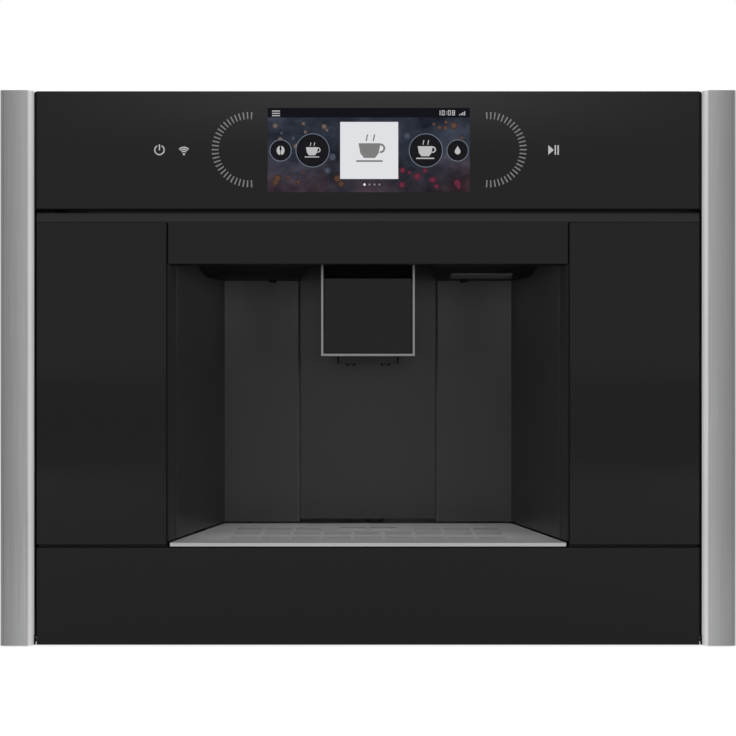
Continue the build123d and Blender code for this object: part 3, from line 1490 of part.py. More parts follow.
with BuildPart() as grinder_housing:
    with BuildSketch(Plane.XY.offset(gearbox_bottom)):
        with Locations((burr_x, burr_y)):
            Circle(box_big + gearbox_wall)
        with Locations((burr_x, pinion_y)):
            Circle(box_small + gearbox_wall)
        make_hull()
    extrude(amount=gearbox_height)
    with BuildSketch(Plane.XY.offset(gearbox_bottom + gearbox_wall)):
        with Locations((burr_x, burr_y)):
            Circle(box_big)
        with Locations((burr_x, pinion_y)):
            Circle(box_small)
        make_hull()
    extrude(amount=gearbox_height - 2 * gearbox_wall, mode=Mode.SUBTRACT)
    with BuildSketch(Plane.XY.offset(gearbox_top)):
        with Locations((burr_x, burr_y)):
            Circle(grinder_radius)
            Circle(grinder_bore, mode=Mode.SUBTRACT)
    extrude(amount=grinder_height)
    # the fixed burr: a coned ring in the top of the barrel
    with BuildSketch(Plane.XY.offset(grinder_top - 4)):
        with Locations((burr_x, burr_y)):
            Circle(grinder_bore + 1)
            Circle(burr_radius + 1.5, mode=Mode.SUBTRACT)
    extrude(amount=-14)
    # bores of the burr's shaft and of the motor's shaft
    with BuildSketch(Plane.XY.offset(gearbox_bottom)):
        with Locations((burr_x, burr_y)):
            Circle(burr_shaft + shaft_fit)
        with Locations((burr_x, pinion_y)):
            Circle(motor_shaft + seat_gap)
    extrude(amount=gearbox_wall, mode=Mode.SUBTRACT)
    with BuildSketch(Plane.XY.offset(gearbox_top)):
        with Locations((burr_x, burr_y)):
            Circle(burr_hub + seat_gap)
    extrude(amount=-gearbox_wall, mode=Mode.SUBTRACT)
grinder_housing.part.label = "grinder_housing"
export_step(grinder_housing.part, "parts/grinder_housing.step")

with BuildPart() as lower_burr:
    with BuildSketch(Plane.XY.offset(gear_bottom)):
        with Locations((burr_x, burr_y)):
            Polygon(*gear_outline(burr_teeth, 90))
    extrude(amount=gear_width)
    with BuildSketch(Plane.XY.offset(gearbox_bottom + seat_gap)):
        with Locations((burr_x, burr_y)):
            Circle(burr_shaft)
    extrude(amount=gear_bottom - gearbox_bottom)
    with BuildSketch(Plane.XY.offset(gear_bottom)):
        with Locations((burr_x, burr_y)):
            Circle(burr_hub)
    extrude(amount=grinder_top - 22 - gear_bottom)
    with BuildSketch(Plane.XY.offset(grinder_top - 22)):
        with Locations((burr_x, burr_y)):
            Circle(burr_radius)
    extrude(amount=18, taper=35)
    # grinding flutes round the cone
    with BuildSketch(Plane.XY.offset(grinder_top - 18)):
        with Locations((burr_x, burr_y)):
            with PolarLocations(burr_radius - 2, 12):
                Rectangle(9, 2.4)
    extrude(amount=18, mode=Mode.SUBTRACT)
lower_burr.part.label = "lower_burr"
export_step(lower_burr.part, "parts/lower_burr.step")

with BuildPart() as motor_pinion:
    with BuildSketch(Plane.XY.offset(gear_bottom)):
        with Locations((burr_x, pinion_y)):
            Polygon(*gear_outline(pinion_teeth, 270 - 180 / pinion_teeth))
    extrude(amount=gear_width)
    with BuildSketch(Plane.XY.offset(gearbox_bottom - 10)):
        with Locations((burr_x, pinion_y)):
            Circle(motor_shaft)
    extrude(amount=gear_bottom + gear_width - gearbox_bottom + 10)
motor_pinion.part.label = "motor_pinion"
export_step(motor_pinion.part, "parts/motor_pinion.step")

with BuildPart() as grinder_motor:
    with BuildSketch(Plane.XY.offset(gearbox_bottom)):
        with Locations((burr_x, pinion_y + seat_gap)):
            Circle(grinder_motor_radius)
    extrude(amount=-grinder_motor_length)
    chamfer(grinder_motor.faces().sort_by(Axis.Z)[0].edges(), length=2)
    with BuildSketch(Plane.XY.offset(gearbox_bottom)):
        with Locations((burr_x, pinion_y)):
            Circle(motor_shaft + shaft_fit)
    extrude(amount=-10 - seat_gap, mode=Mode.SUBTRACT)
grinder_motor.part.label = "grinder_motor"
export_step(grinder_motor.part, "parts/grinder_motor.step")

hopper_y = y_compartment + hopper_depth / 2
hopper_top = rail_middle - switch_height / 2 - switch_flange - hopper_gap - lid_thickness
hopper_width = compartment_width - 2 * hopper_side_gap

with BuildPart() as bean_hopper:
    # outside first, then the hollow
    for inset, mode in ((0, Mode.ADD), (hopper_wall, Mode.SUBTRACT)):
        with BuildSketch(Plane.XY.offset(grinder_top)):
            with Locations((burr_x, burr_y)):
                Rectangle(2 * (hopper_throat - inset), 2 * (hopper_throat - inset))
        with BuildSketch(Plane.XY.offset(hopper_top - hopper_rim)):
            with Locations((column_x, hopper_y)):
                Rectangle(hopper_width - 2 * inset, hopper_depth - 2 * inset)
        loft(mode=mode)
        with BuildSketch(Plane.XY.offset(hopper_top - hopper_rim)):
            with Locations((column_x, hopper_y)):
                Rectangle(hopper_width - 2 * inset, hopper_depth - 2 * inset)
        extrude(amount=hopper_rim, mode=mode)
bean_hopper.part.label = "bean_hopper"
export_step(bean_hopper.part, "parts/bean_hopper.step")

with BuildPart() as bean_hopper_lid:
    with BuildSketch(Plane.XY.offset(hopper_top)):
        with Locations((column_x, hopper_y)):
            Rectangle(hopper_width, hopper_depth)
    extrude(amount=lid_thickness)
    with BuildSketch(Plane.XY.offset(hopper_top + lid_thickness)):
        with Locations((column_x, y_compartment + 16)):
            SlotOverall(40, 10)
    extrude(amount=-1, mode=Mode.SUBTRACT)
bean_hopper_lid.part.label = "bean_hopper_lid"
export_step(bean_hopper_lid.part, "parts/bean_hopper_lid.step")

drawer_y = brew_front + drawer_depth / 2 - 1
with BuildPart() as powder_drawer:
    with BuildSketch(Plane.XY.offset(brew_top)):
        with Locations((column_x, drawer_y)):
            Rectangle(drawer_width, drawer_depth)
    extrude(amount=drawer_height)
    with BuildSketch(Plane.XY.offset(brew_top + 2)):
        with Locations((column_x, drawer_y)):
            RectangleRounded(drawer_width - 4, drawer_depth - 8, 3)
    extrude(amount=drawer_height, mode=Mode.SUBTRACT)
    with BuildSketch(wall_plane(drawer_y - drawer_depth / 2)):
        with Locations((column_x, brew_top + drawer_height / 2)):
            SlotOverall(30, 8)
    extrude(amount=-1.5, mode=Mode.SUBTRACT)
powder_drawer.part.label = "powder_drawer"
export_step(powder_drawer.part, "parts/powder_drawer.step")
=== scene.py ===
"""Looks of the built-in coffee machine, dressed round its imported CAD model.

Metres throughout, in the CAD model's frame: +Z is up and the glass front faces -Y.
"""

import math
import random

import bmesh
import bpy
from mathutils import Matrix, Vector


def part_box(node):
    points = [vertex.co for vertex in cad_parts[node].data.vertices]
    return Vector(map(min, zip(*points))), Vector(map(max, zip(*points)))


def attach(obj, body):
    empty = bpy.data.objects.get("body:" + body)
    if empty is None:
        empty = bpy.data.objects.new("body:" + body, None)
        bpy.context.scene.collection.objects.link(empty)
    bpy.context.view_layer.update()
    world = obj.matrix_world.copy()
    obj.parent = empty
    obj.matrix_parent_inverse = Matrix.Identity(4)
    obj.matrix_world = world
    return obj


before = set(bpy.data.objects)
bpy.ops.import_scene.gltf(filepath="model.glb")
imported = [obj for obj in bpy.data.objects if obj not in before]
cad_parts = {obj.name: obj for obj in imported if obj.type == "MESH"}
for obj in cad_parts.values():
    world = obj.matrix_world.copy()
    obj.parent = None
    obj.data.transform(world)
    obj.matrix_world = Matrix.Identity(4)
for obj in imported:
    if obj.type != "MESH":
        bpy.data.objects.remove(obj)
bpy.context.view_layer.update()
random.seed(7)

MM = 0.001
GLASS_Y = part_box("control_panel_glass")[0].y
PIXEL = 0.8127 * MM  # one picture pixel on the glass
EYE_HEIGHT = 0.226
EYE_DISTANCE = 1.099  # from the trims' front
FRAME_PIXELS = 736


# ---------------------------------------------------------------------------
# Materials
# ---------------------------------------------------------------------------
FINE_GRAIN = 2600.0  # noise scale of a spark-eroded mould
BROAD_TONE = 22.0  # noise scale of slow changes in tone and gloss
GRAIN_DEPTH = 0.06 * MM
BRUSH_DEPTH = 0.04 * MM
GLASS_TONE = 0.003
# Base colour of the painted reflection high on the control panel's glass
GLASS_PAINTED_REFLECTION = 0.0175


def add_node(tree, kind, **settings):
    made = tree.nodes.new(kind)
    for key, value in settings.items():
        setattr(made, key, value)
    return made


class Shader:
    """A Principled material with short calls for the nodes that vary it over the surface."""

    # A Mix node's colour sockets, by number because its other kinds have the same names
    MIX_FIRST = 6
    MIX_SECOND = 7
    MIX_RESULT = 2

    def __init__(self, name, color, roughness, metallic=0.0, **sockets):
        self.material = bpy.data.materials.new(name)
        self.material.use_nodes = True
        self.tree = self.material.node_tree
        self.surface = self.tree.nodes["Principled BSDF"]
        self.surface.inputs["Base Color"].default_value = (*color, 1.0)
        self.surface.inputs["Roughness"].default_value = roughness
        self.surface.inputs["Metallic"].default_value = metallic
        for key, value in sockets.items():
            self.surface.inputs[key.replace("_", " ")].default_value = value
        self.place = self.node("ShaderNodeTexCoord").outputs["Object"]

    def node(self, kind, **settings):
        return add_node(self.tree, kind, **settings)

    def link(self, out, into):
        self.tree.links.new(out, into)

    def stretched(self, scale):
        mapping = self.node("ShaderNodeMapping")
        mapping.inputs["Scale"].default_value = scale
        self.link(self.place, mapping.inputs["Vector"])
        return mapping.outputs["Vector"]

    def noise(self, scale, detail=4.0, stretch=(1, 1, 1)):
        made = self.node("ShaderNodeTexNoise")
        made.inputs["Scale"].default_value = scale
        made.inputs["Detail"].default_value = detail
        made.inputs["Roughness"].default_value = 0.6
        self.link(self.stretched(stretch), made.inputs["Vector"])
        return made.outputs["Fac"]

    def part(self, letter, output="Object"):
        """One coordinate of the place on the object, or of another output such as Normal."""
        parts = self.node("ShaderNodeSeparateXYZ")
        self.link(self.place.node.outputs[output], parts.inputs["Vector"])
        return parts.outputs[letter]

    def math(self, operation, *values):
        made = self.node("ShaderNodeMath", operation=operation)
        for value, socket in zip(values, made.inputs):
            self.link(value, socket)
        return made.outputs["Value"]

    def size(self, letter, output="Object"):
        """One coordinate as part() gives it, without its sign."""
        return self.math("ABSOLUTE", self.part(letter, output))

    def along(self, value, low, high, shape="LINEAR"):
        """Rises from 0 at low to 1 at high, evenly unless another shape is given."""
        made = self.node("ShaderNodeMapRange", interpolation_type=shape)
        made.inputs["From Min"].default_value = low
        made.inputs["From Max"].default_value = high
        self.link(value, made.inputs["Value"])
        return made.outputs["Result"]

    def between(self, value, low, high):
        """Eases from 0 at low to 1 at high."""
        return self.along(value, low, high, "SMOOTHSTEP")

    def mix(self, share, first, second):
        """Colours blended: first where share is 0, second where it is 1."""
        made = self.node("ShaderNodeMix", data_type="RGBA")
        self.link(share, made.inputs["Factor"])
        for socket, color in ((self.MIX_FIRST, first), (self.MIX_SECOND, second)):
            if isinstance(color, tuple):
                made.inputs[socket].default_value = (*color, 1.0)
            else:
                self.link(color, made.inputs[socket])
        return made.outputs[self.MIX_RESULT]

    def product(self, first, second):
        made = self.node("ShaderNodeMix", data_type="RGBA", blend_type="MULTIPLY")
        made.inputs["Factor"].default_value = 1.0
        self.link(first, made.inputs[self.MIX_FIRST])
        self.link(second, made.inputs[self.MIX_SECOND])
        return made.outputs[self.MIX_RESULT]

    def cells(self, scale):
        made = self.node("ShaderNodeTexVoronoi")
        made.inputs["Scale"].default_value = scale
        self.link(self.place, made.inputs["Vector"])
        return made.outputs["Color"]

    def spread(self, value, low, high):
        """Maps the middle part of a noise, where most of it lies, to low..high."""
        made = self.node("ShaderNodeMapRange")
        made.inputs["From Min"].default_value = 0.3
        made.inputs["From Max"].default_value = 0.7
        made.inputs["To Min"].default_value = low
        made.inputs["To Max"].default_value = high
        self.link(value, made.inputs["Value"])
        return made.outputs["Result"]

    def ramp(self, value, stops):
        made = self.node("ShaderNodeValToRGB")
        points = made.color_ramp.elements
        while len(points) < len(stops):
            points.new(0.5)
        for point, (position, color) in zip(points, stops):
            point.position = position
            point.color = (*color, 1.0)
        self.link(value, made.inputs["Fac"])
        return made.outputs["Color"]

    def color(self, output):
        self.link(output, self.surface.inputs["Base Color"])

    def roughness(self, output):
        self.link(output, self.surface.inputs["Roughness"])

    def bump(self, height, strength, distance):
        made = self.node("ShaderNodeBump")
        made.inputs["Strength"].default_value = strength
        made.inputs["Distance"].default_value = distance
        self.link(height, made.inputs["Height"])
        self.link(made.outputs["Normal"], self.surface.inputs["Normal"])


def grey(level):
    return (level, level, level)


def brushed(name, color, roughness, stretch, streak=0.12):
    """Metal with a fine grain, which runs along the axis that has the smallest stretch."""
    made = Shader(name, color, roughness, metallic=1.0)
    grain = made.noise(1.0, 3.0, stretch)
    light = [min(1.0, channel * (1 + streak)) for channel in color]
    dark = [channel * (1 - streak) for channel in color]
    made.color(made.ramp(grain, ((0.35, dark), (0.65, light))))
    made.roughness(made.spread(grain, roughness - 0.06, roughness + 0.08))
    made.bump(grain, 0.12, BRUSH_DEPTH)
    return made.material


def plastic(name, color, roughness, grain=FINE_GRAIN, strength=0.12, **sockets):
    """Moulded plastic: even colour, a fine spark-eroded grain and slightly uneven gloss."""
    made = Shader(name, color, roughness, **sockets)
    texture = made.noise(grain, 2.0)
    broad = made.noise(BROAD_TONE, 3.0)
    dark = [channel * 0.86 for channel in color]
    light = [min(1.0, channel * 1.1) for channel in color]
    made.color(made.ramp(broad, ((0.3, dark), (0.7, light))))
    made.roughness(made.spread(broad, roughness * 0.9, min(1.0, roughness * 1.12)))
    made.bump(texture, strength, GRAIN_DEPTH)
    return made.material


def black_glass(name):
    """Tempered glass printed black behind: very smooth, with a faint ripple and ground edges.

    It returns the shader, so that a caller can add to it.
    """
    made = Shader(name, grey(GLASS_TONE), 0.05, IOR=1.5, Specular_IOR_Level=0.195)
    ripple = made.noise(9.0, 1.0)
    edge = made.between(made.size("Y", "Normal"), 0.99, 0.9)
    made.roughness(made.mix(edge, made.spread(ripple, 0.045, 0.07), grey(0.7)))
    made.bump(ripple, 0.02, 0.2 * MM)
    return made


def reflection_painted_glass(name):
    """The control panel's glass, with a soft painted reflection that lightens it from its middle's
    upper edge.
    """
    painted_reflection_reach = 0.33
    painted_reflection_foot = 0.395
    painted_reflection_top = 0.455
    made = black_glass(name)
    across = made.between(made.size("X"), painted_reflection_reach, 0.0)
    painted_light_rise = made.between(made.part("Z"), painted_reflection_foot, painted_reflection_top)
    # The base colour is lifted there as a painted reflection.
    made.color(made.mix(made.math("MULTIPLY", across, painted_light_rise), grey(GLASS_TONE), grey(GLASS_PAINTED_REFLECTION)))
    return made.material


def zinc(name):
    """Zinc-coated sheet with its large soft spangle."""
    made = Shader(name, grey(0.45), 0.42, metallic=1.0)
    spangle = made.cells(120.0)
    fine = made.noise(700.0, 2.0)
    made.color(made.ramp(spangle, ((0.0, (0.43, 0.44, 0.45)), (1.0, (0.53, 0.54, 0.55)))))
    made.roughness(made.spread(fine, 0.36, 0.5))
    made.bump(fine, 0.08, 0.05 * MM)
    return made.material


def clear(name, color, roughness, alpha):
    """Clear or smoked moulding, seen through."""
    made = Shader(name, color, roughness, IOR=1.49, Alpha=alpha)
    haze = made.noise(14.0, 3.0)
    made.roughness(made.spread(haze, roughness * 0.8, roughness * 1.5))
    made.bump(haze, 0.03, 0.4 * MM)
    made.material.surface_render_method = "BLENDED"
    return made.material


def glowing(name, color):
    """The shader of a lit part of the display, whose gloss is lost against the light."""
    made = Shader(name, grey(0.001), 0.3, Specular_IOR_Level=0.02)
    made.surface.inputs["Emission Color"].default_value = (*color, 1.0)
    made.surface.inputs["Emission Strength"].default_value = 1.0
    return made


def niche_plastic(name, level, painted_lift, seam_from=0.99):
    """Satin lining of the niche, its tone lifted by painted light towards the ceiling and in its V
    seams.

    Faces count as a seam's where their normal's X part passes seam_from.
    """
    painted_lift_foot = 0.2
    painted_lift_top = 0.31
    made = Shader(name, grey(level), 0.3, Specular_IOR_Level=0.3)
    fine = made.noise(FINE_GRAIN, 2.0)
    broad = made.noise(BROAD_TONE, 3.0)
    # Painted light: the tone rises towards the ceiling, and faces in the V seams are painted five
    # times lighter.
    painted_light_rise = made.between(made.part("Z"), painted_lift_foot, painted_lift_top)
    seam = made.between(made.size("X", "Normal"), seam_from, 1.0)
    tone = made.ramp(broad, ((0.3, grey(0.92)), (0.7, grey(1.08))))
    lining = made.mix(painted_light_rise, grey(level), grey(level * painted_lift))
    made.color(made.product(made.mix(seam, lining, grey(level * 5)), tone))
    made.roughness(made.spread(broad, 0.28, 0.33))
    made.bump(fine, 0.03, GRAIN_DEPTH)
    return made.material


def frame_plastic(name):
    """Moulding of the door, with painted light on the reveals beside the niche and painted shade
    inside the seams.
    """
    made = Shader(name, grey(0.01), 0.45, Specular_IOR_Level=0.15)
    fine = made.noise(FINE_GRAIN, 2.0)
    broad = made.noise(BROAD_TONE, 3.0)
    painted_side_light = made.between(made.size("X", "Normal"), 0.4, 0.8)
    tone = made.ramp(broad, ((0.3, grey(0.9)), (0.7, grey(1.1))))
    # Faces turned sideways are painted lighter than the rest.
    made.color(made.product(made.mix(painted_side_light, grey(0.002), grey(0.018)), tone))
    made.roughness(made.spread(broad, 0.4, 0.5))
    made.bump(fine, 0.12, GRAIN_DEPTH)
    return made.material


def trim_steel(name):
    """Vertically brushed steel, darkened outward by painted shade and lightened towards its foot
    by a painted floor reflection.

    Its sloping faces, the inner bevel above all, carry a painted highlight along one line.
    """
    trim_inner, trim_outer = (corner.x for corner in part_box("right_trim"))
    bevel_width = 5 * MM
    foot_height = 0.12
    made = Shader(name, grey(0.3), 0.36, metallic=1.0)
    grain = made.noise(1.0, 3.0, (2600, 2600, 9))
    cloud = made.noise(30.0, 2.0, (1, 1, 0.3))
    from_middle = made.size("X")
    painted_outward_shade = made.between(from_middle, trim_inner + 0.7 * MM, trim_outer)
    sloping = made.between(made.size("X", "Normal"), 0.25, 0.45)
    fine = made.ramp(grain, ((0.3, grey(0.87)), (0.7, grey(1.13))))
    # Painted shade: the face darkens outward.
    face = made.mix(painted_outward_shade, (0.41, 0.412, 0.415), (0.25, 0.251, 0.253))
    # Painted highlight: a bright line across the sloping faces.
    painted_bevel_highlight = made.ramp(
        made.along(from_middle, trim_inner, trim_inner + bevel_width),
        ((0.0, grey(0.44)), (0.6, grey(0.76)), (0.9, grey(0.54)), (1.0, grey(0.27))),
    )
    # Painted floor reflection: lighter towards the foot.
    painted_foot_reflection = made.mix(made.between(made.part("Z"), foot_height, 0.0), grey(0.89), grey(1.06))
    made.color(made.product(made.product(made.mix(sloping, face, painted_bevel_highlight), fine), painted_foot_reflection))
    made.roughness(made.spread(cloud, 0.3, 0.4))
    made.bump(grain, 0.15, BRUSH_DEPTH)
    return made.material


def grate_steel(name):
    """Steel brushed across, with painted light and shade: a top that lightens towards the back and
    darker upright faces.
    """
    lip, back = (corner.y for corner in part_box("drip_grate"))
    made = Shader(name, grey(0.5), 0.5, metallic=0.6)
    grain = made.noise(1.0, 3.0, (10, 2400, 2400))
    inside = made.between(made.part("Y"), lip + 2 * MM, lip + 6 * MM)
    top = made.between(made.part("Z", "Normal"), 0.5, 0.9)
    fine = made.ramp(grain, ((0.3, grey(0.86)), (0.7, grey(1.14))))
    # Painted shade on the upright faces, less on the front of the lip.
    edges = made.mix(inside, grey(0.4), grey(0.24))
    # Painted light on the top, rising towards the back.
    painted_light_tones = ((0.0, 0.47), (0.17, 0.62), (0.34, 0.78), (0.6, 0.8), (0.85, 0.93))
    face = made.ramp(
        made.along(made.part("Y"), lip, back), [(place, grey(tone)) for place, tone in painted_light_tones]
    )
    made.color(made.product(made.mix(top, edges, face), fine))
    made.roughness(made.spread(grain, 0.44, 0.56))
    made.bump(grain, 0.12, BRUSH_DEPTH)
    return made.material


TRIM_STEEL = trim_steel("trim_steel")
GLASS = black_glass("black_glass").material
PANEL_GLASS = reflection_painted_glass("panel_glass")
ZINC = zinc("zinc_sheet")
PAINT = plastic("black_paint", grey(0.006), 0.4, grain=900.0, strength=0.2, Specular_IOR_Level=0.3)
STRIP = plastic("strip_enamel", grey(0.0075), 0.3, grain=1500.0, Specular_IOR_Level=0.1)
FRAME_PLASTIC = frame_plastic("frame_plastic")
MOULDED_PLASTIC = plastic("moulded_plastic", grey(0.009), 0.45)
HINGE_PAINT = plastic("hinge_paint", grey(0.001), 0.5, grain=900.0, Specular_IOR_Level=0.05)
# The niche lining in copies at different levels, as painted light and shade: the side walls
# lighter and the ceiling darker than the back wall.
WALL_PLASTIC = niche_plastic("niche_plastic", 0.0148, 3.9, 0.3)
COVER_PLASTIC = niche_plastic("cover_plastic", 0.0113, 3.2, 0.3)
SIDE_PAINTED_LIGHT = niche_plastic("side_painted_light", 0.0185, 1.65)
CEILING_PAINTED_SHADE = plastic("ceiling_painted_shade", grey(0.0038), 0.5, Specular_IOR_Level=0.2)
CAVITY_PLASTIC = plastic("cavity_plastic", grey(0.0012), 0.5, Specular_IOR_Level=0.04)
NOZZLE_PLASTIC = plastic("nozzle_plastic", grey(0.0048), 0.4, Specular_IOR_Level=0.2)
DARK_PLASTIC = plastic("dark_plastic", grey(0.03), 0.45)
GREY_PLASTIC = plastic("grey_plastic", grey(0.11), 0.42)
PALE_PLASTIC = plastic("pale_plastic", (0.62, 0.61, 0.57), 0.4)
RED_PLASTIC = plastic("float_plastic", (0.55, 0.05, 0.03), 0.35)
SEAL = plastic("gap_shade_span", grey(0.012), 0.35, Specular_IOR_Level=0.2)
PLUG = plastic("plug", grey(0.003), 0.6, Specular_IOR_Level=0.1)
RUBBER = plastic("rubber", grey(0.02), 0.75, grain=1800.0, strength=0.3)
SILICONE = plastic("silicone_hose", (0.55, 0.54, 0.5), 0.5, Subsurface_Weight=0.15)
GRATE_STEEL = grate_steel("grate_steel")
OUTLET_METAL = brushed("outlet_metal", grey(0.25), 0.34, (2400, 2400, 12))
GROUND_STEEL = brushed("ground_steel", grey(0.6), 0.16, (900, 900, 4000), 0.05)
BRACKET_STEEL = brushed("bracket_steel", grey(0.5), 0.38, (300, 300, 300), 0.08)
CAST_METAL = brushed("cast_alloy", grey(0.42), 0.5, (160, 160, 160), 0.1)
BURR_STEEL = brushed("burr_steel", grey(0.28), 0.3, (500, 500, 500), 0.1)
BRASS = brushed("brass", (0.62, 0.44, 0.19), 0.26, (600, 600, 600), 0.06)
BOARD_GREEN = plastic("board_green", (0.015, 0.09, 0.045), 0.35, grain=1200.0, strength=0.3)
SCREEN_OFF = plastic("screen_off", grey(0.006), 0.15)
TANK_CLEAR = clear("tank_clear", (0.66, 0.72, 0.76), 0.12, 0.32)
HOPPER_SMOKE = clear("hopper_smoke", (0.1, 0.09, 0.08), 0.14, 0.55)
LENS = plastic("lamp_lens", grey(0.075), 0.35, grain=900.0, strength=0.4)

FINISH = {
    TRIM_STEEL: ("left_trim", "right_trim"),
    PANEL_GLASS: ("control_panel_glass",),
    GLASS: (
        "door_left_glass",
        "door_right_glass",
        "door_lintel_glass",
        "door_bottom_glass",
        "outlet_face",
    ),
    STRIP: ("door_top_strip",),
    ZINC: ("base_pan", "left_side_panel", "right_side_panel", "top_panel", "rear_panel"),
    PAINT: ("front_frame", "grinder_motor", "brew_motor"),
    HINGE_PAINT: ("hinge_brackets",),
    FRAME_PLASTIC: ("door_frame",),
    MOULDED_PLASTIC: ("control_panel_carrier", "mains_switch_body", "power_inlet"),
    SIDE_PAINTED_LIGHT: ("niche_left_wall", "niche_right_wall"),
    WALL_PLASTIC: ("niche_back_wall",),
    COVER_PLASTIC: ("niche_centre_cover",),
    CEILING_PAINTED_SHADE: ("niche_ceiling",),
    CAVITY_PLASTIC: ("outlet_housing",),
    NOZZLE_PLASTIC: ("nozzle_block",),
    LENS: ("niche_lamp_lens",),
    DARK_PLASTIC: (
        "magnet_catch",
        "drip_tray",
        "grounds_container",
        "water_tank_lid",
        "powder_drawer",
        "brew_frame",
        "bean_hopper_lid",
        "mains_rocker",
    ),
    GREY_PLASTIC: ("pump", "brew_piston"),
    PALE_PLASTIC: ("brew_chamber", "flow_meter"),
    RED_PLASTIC: ("tray_float",),
    RUBBER: ("base_glides",),
    SILICONE: ("water_hoses",),
    GRATE_STEEL: ("drip_grate",),
    OUTLET_METAL: ("outlet_frame",),
    GROUND_STEEL: ("outlet_rails", "brew_spindle"),
    BRACKET_STEEL: ("door_striker", "casing_screws"),
    CAST_METAL: ("grinder_housing", "thermoblock"),
    BURR_STEEL: ("lower_burr",),
    BRASS: ("motor_pinion",),
    BOARD_GREEN: ("touch_boards", "power_board"),
    SCREEN_OFF: ("display_module",),
    TANK_CLEAR: ("water_tank",),
    HOPPER_SMOKE: ("bean_hopper",),
}
for finish, names in FINISH.items():
    for name in names:
        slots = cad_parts[name].data.materials
        slots.clear()
        slots.append(finish)
unfinished = set(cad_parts) - {name for names in FINISH.values() for name in names}
if unfinished:
    raise SystemExit(f"nodes without a finish: {sorted(unfinished)}")

# Finely broken edges catch the light on the metal and glass parts.
EDGE_RADIUS = {  # millimetres
    "left_trim": 0.25,
    "right_trim": 0.25,
    "drip_grate": 0.2,
    "outlet_frame": 0.15,
    "door_top_strip": 0.25,
    "control_panel_glass": 0.08,
    "door_left_glass": 0.08,
    "door_right_glass": 0.08,
    "door_lintel_glass": 0.08,
    "door_bottom_glass": 0.08,
}
for name, radius in EDGE_RADIUS.items():
    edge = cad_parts[name].modifiers.new("broken_edge", "BEVEL")
    edge.width = radius * MM
    edge.segments = 2
    edge.limit_method = "ANGLE"
    edge.angle_limit = math.radians(30)
    edge.harden_normals = False


# ---------------------------------------------------------------------------
# Seals and plugs, and dark blocks of painted shade in gaps, that only show as dark lines
# ---------------------------------------------------------------------------
def block(name, low, high, material, body, radius=0.3):
    """A bar between two corners, its edges rounded by a radius in millimetres."""
    shape = bmesh.new()
    bmesh.ops.create_cube(shape, size=1.0)
    size = Vector(high) - Vector(low)
    bmesh.ops.scale(shape, vec=size, verts=shape.verts)
    bmesh.ops.translate(shape, vec=(Vector(high) + Vector(low)) / 2, verts=shape.verts)
    rounding = min(radius * MM, min(size) * 0.45)
    bmesh.ops.bevel(shape, geom=shape.edges, offset=rounding, segments=2, affect="EDGES")
    mesh = bpy.data.meshes.new(name)
    shape.to_mesh(mesh)
    shape.free()
    mesh.materials.append(material)
    made = bpy.data.objects.new(name, mesh)
    bpy.context.collection.objects.link(made)
    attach(made, body)


panel_low, panel_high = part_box("control_panel_glass")
strip_low, strip_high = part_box("door_top_strip")
lintel_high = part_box("door_lintel_glass")[1]
PLUG_HEIGHT = 3.0 * MM
LIP_TOP = 8.0 * MM  # above the foot of the trim
for side_name, side in (("left", -1), ("right", 1)):
    trim_low, trim_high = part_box(f"{side_name}_trim")
    trim_inner, trim_outer = sorted((abs(trim_low.x), abs(trim_high.x)))
    trim_foot = trim_low.z + 0.2 * MM

    # A dark block in the gap between the panel glass and the trim: painted shade in the gap.
    gap_shade_span = sorted((side * (panel_high.x + 0.1 * MM), side * (trim_inner - 0.1 * MM)))
    block(
        f"panel_gap_painted_shade_{side_name}",
        (gap_shade_span[0], panel_low.y + 0.8 * MM, panel_low.z + 0.2 * MM),
        (gap_shade_span[1], panel_high.y, panel_high.z - 0.3 * MM),
        PLUG,
        "chassis",
    )

    plug = sorted((side * (trim_inner + 1.2 * MM), side * (trim_outer - 2 * MM)))
    trim_head = trim_high.z - 0.2 * MM
    for end_name, plug_low in (("lower", trim_foot), ("upper", trim_head - PLUG_HEIGHT)):
        block(
            f"trim_plug_{side_name}_{end_name}",
            (plug[0], trim_low.y + 7.5 * MM, plug_low),
            (plug[1], trim_high.y - 1.8 * MM, plug_low + PLUG_HEIGHT),
            PLUG,
            "chassis",
        )

    # Lip that closes the foot of the gap beside the door, thin because the door's edge swings
    # past; its dark face is painted shade at the gap's foot
    lip = sorted((side * (panel_high.x + 0.35 * MM), side * (trim_inner + 0.1 * MM)))
    block(
        f"trim_foot_shade_lip_{side_name}",
        (lip[0], panel_low.y - 0.1 * MM, trim_foot),
        (lip[1], panel_low.y + 0.4 * MM, trim_low.z + LIP_TOP),
        PLUG,
        "chassis",
        0.1,
    )
block(
    "strip_seal",
    (strip_low.x + 0.5 * MM, panel_low.y + 0.25 * MM, lintel_high.z),
    (strip_high.x - 0.5 * MM, panel_low.y + 1.5 * MM, strip_low.z),
    SEAL,
    "door",
    0.05,
)


# ---------------------------------------------------------------------------
# Flat printed and lit marks on the control panel
# ---------------------------------------------------------------------------
MARK_LIFT = 0.03 * MM  # of the lowest layer over the glass
LAYER_STEP = 0.02 * MM


def at_pixel(px, py):
    """Place on the glass, x and z, for a picture pixel."""
    return ((px - FRAME_PIXELS / 2) * PIXEL, EYE_HEIGHT + (FRAME_PIXELS / 2 - py) * PIXEL)


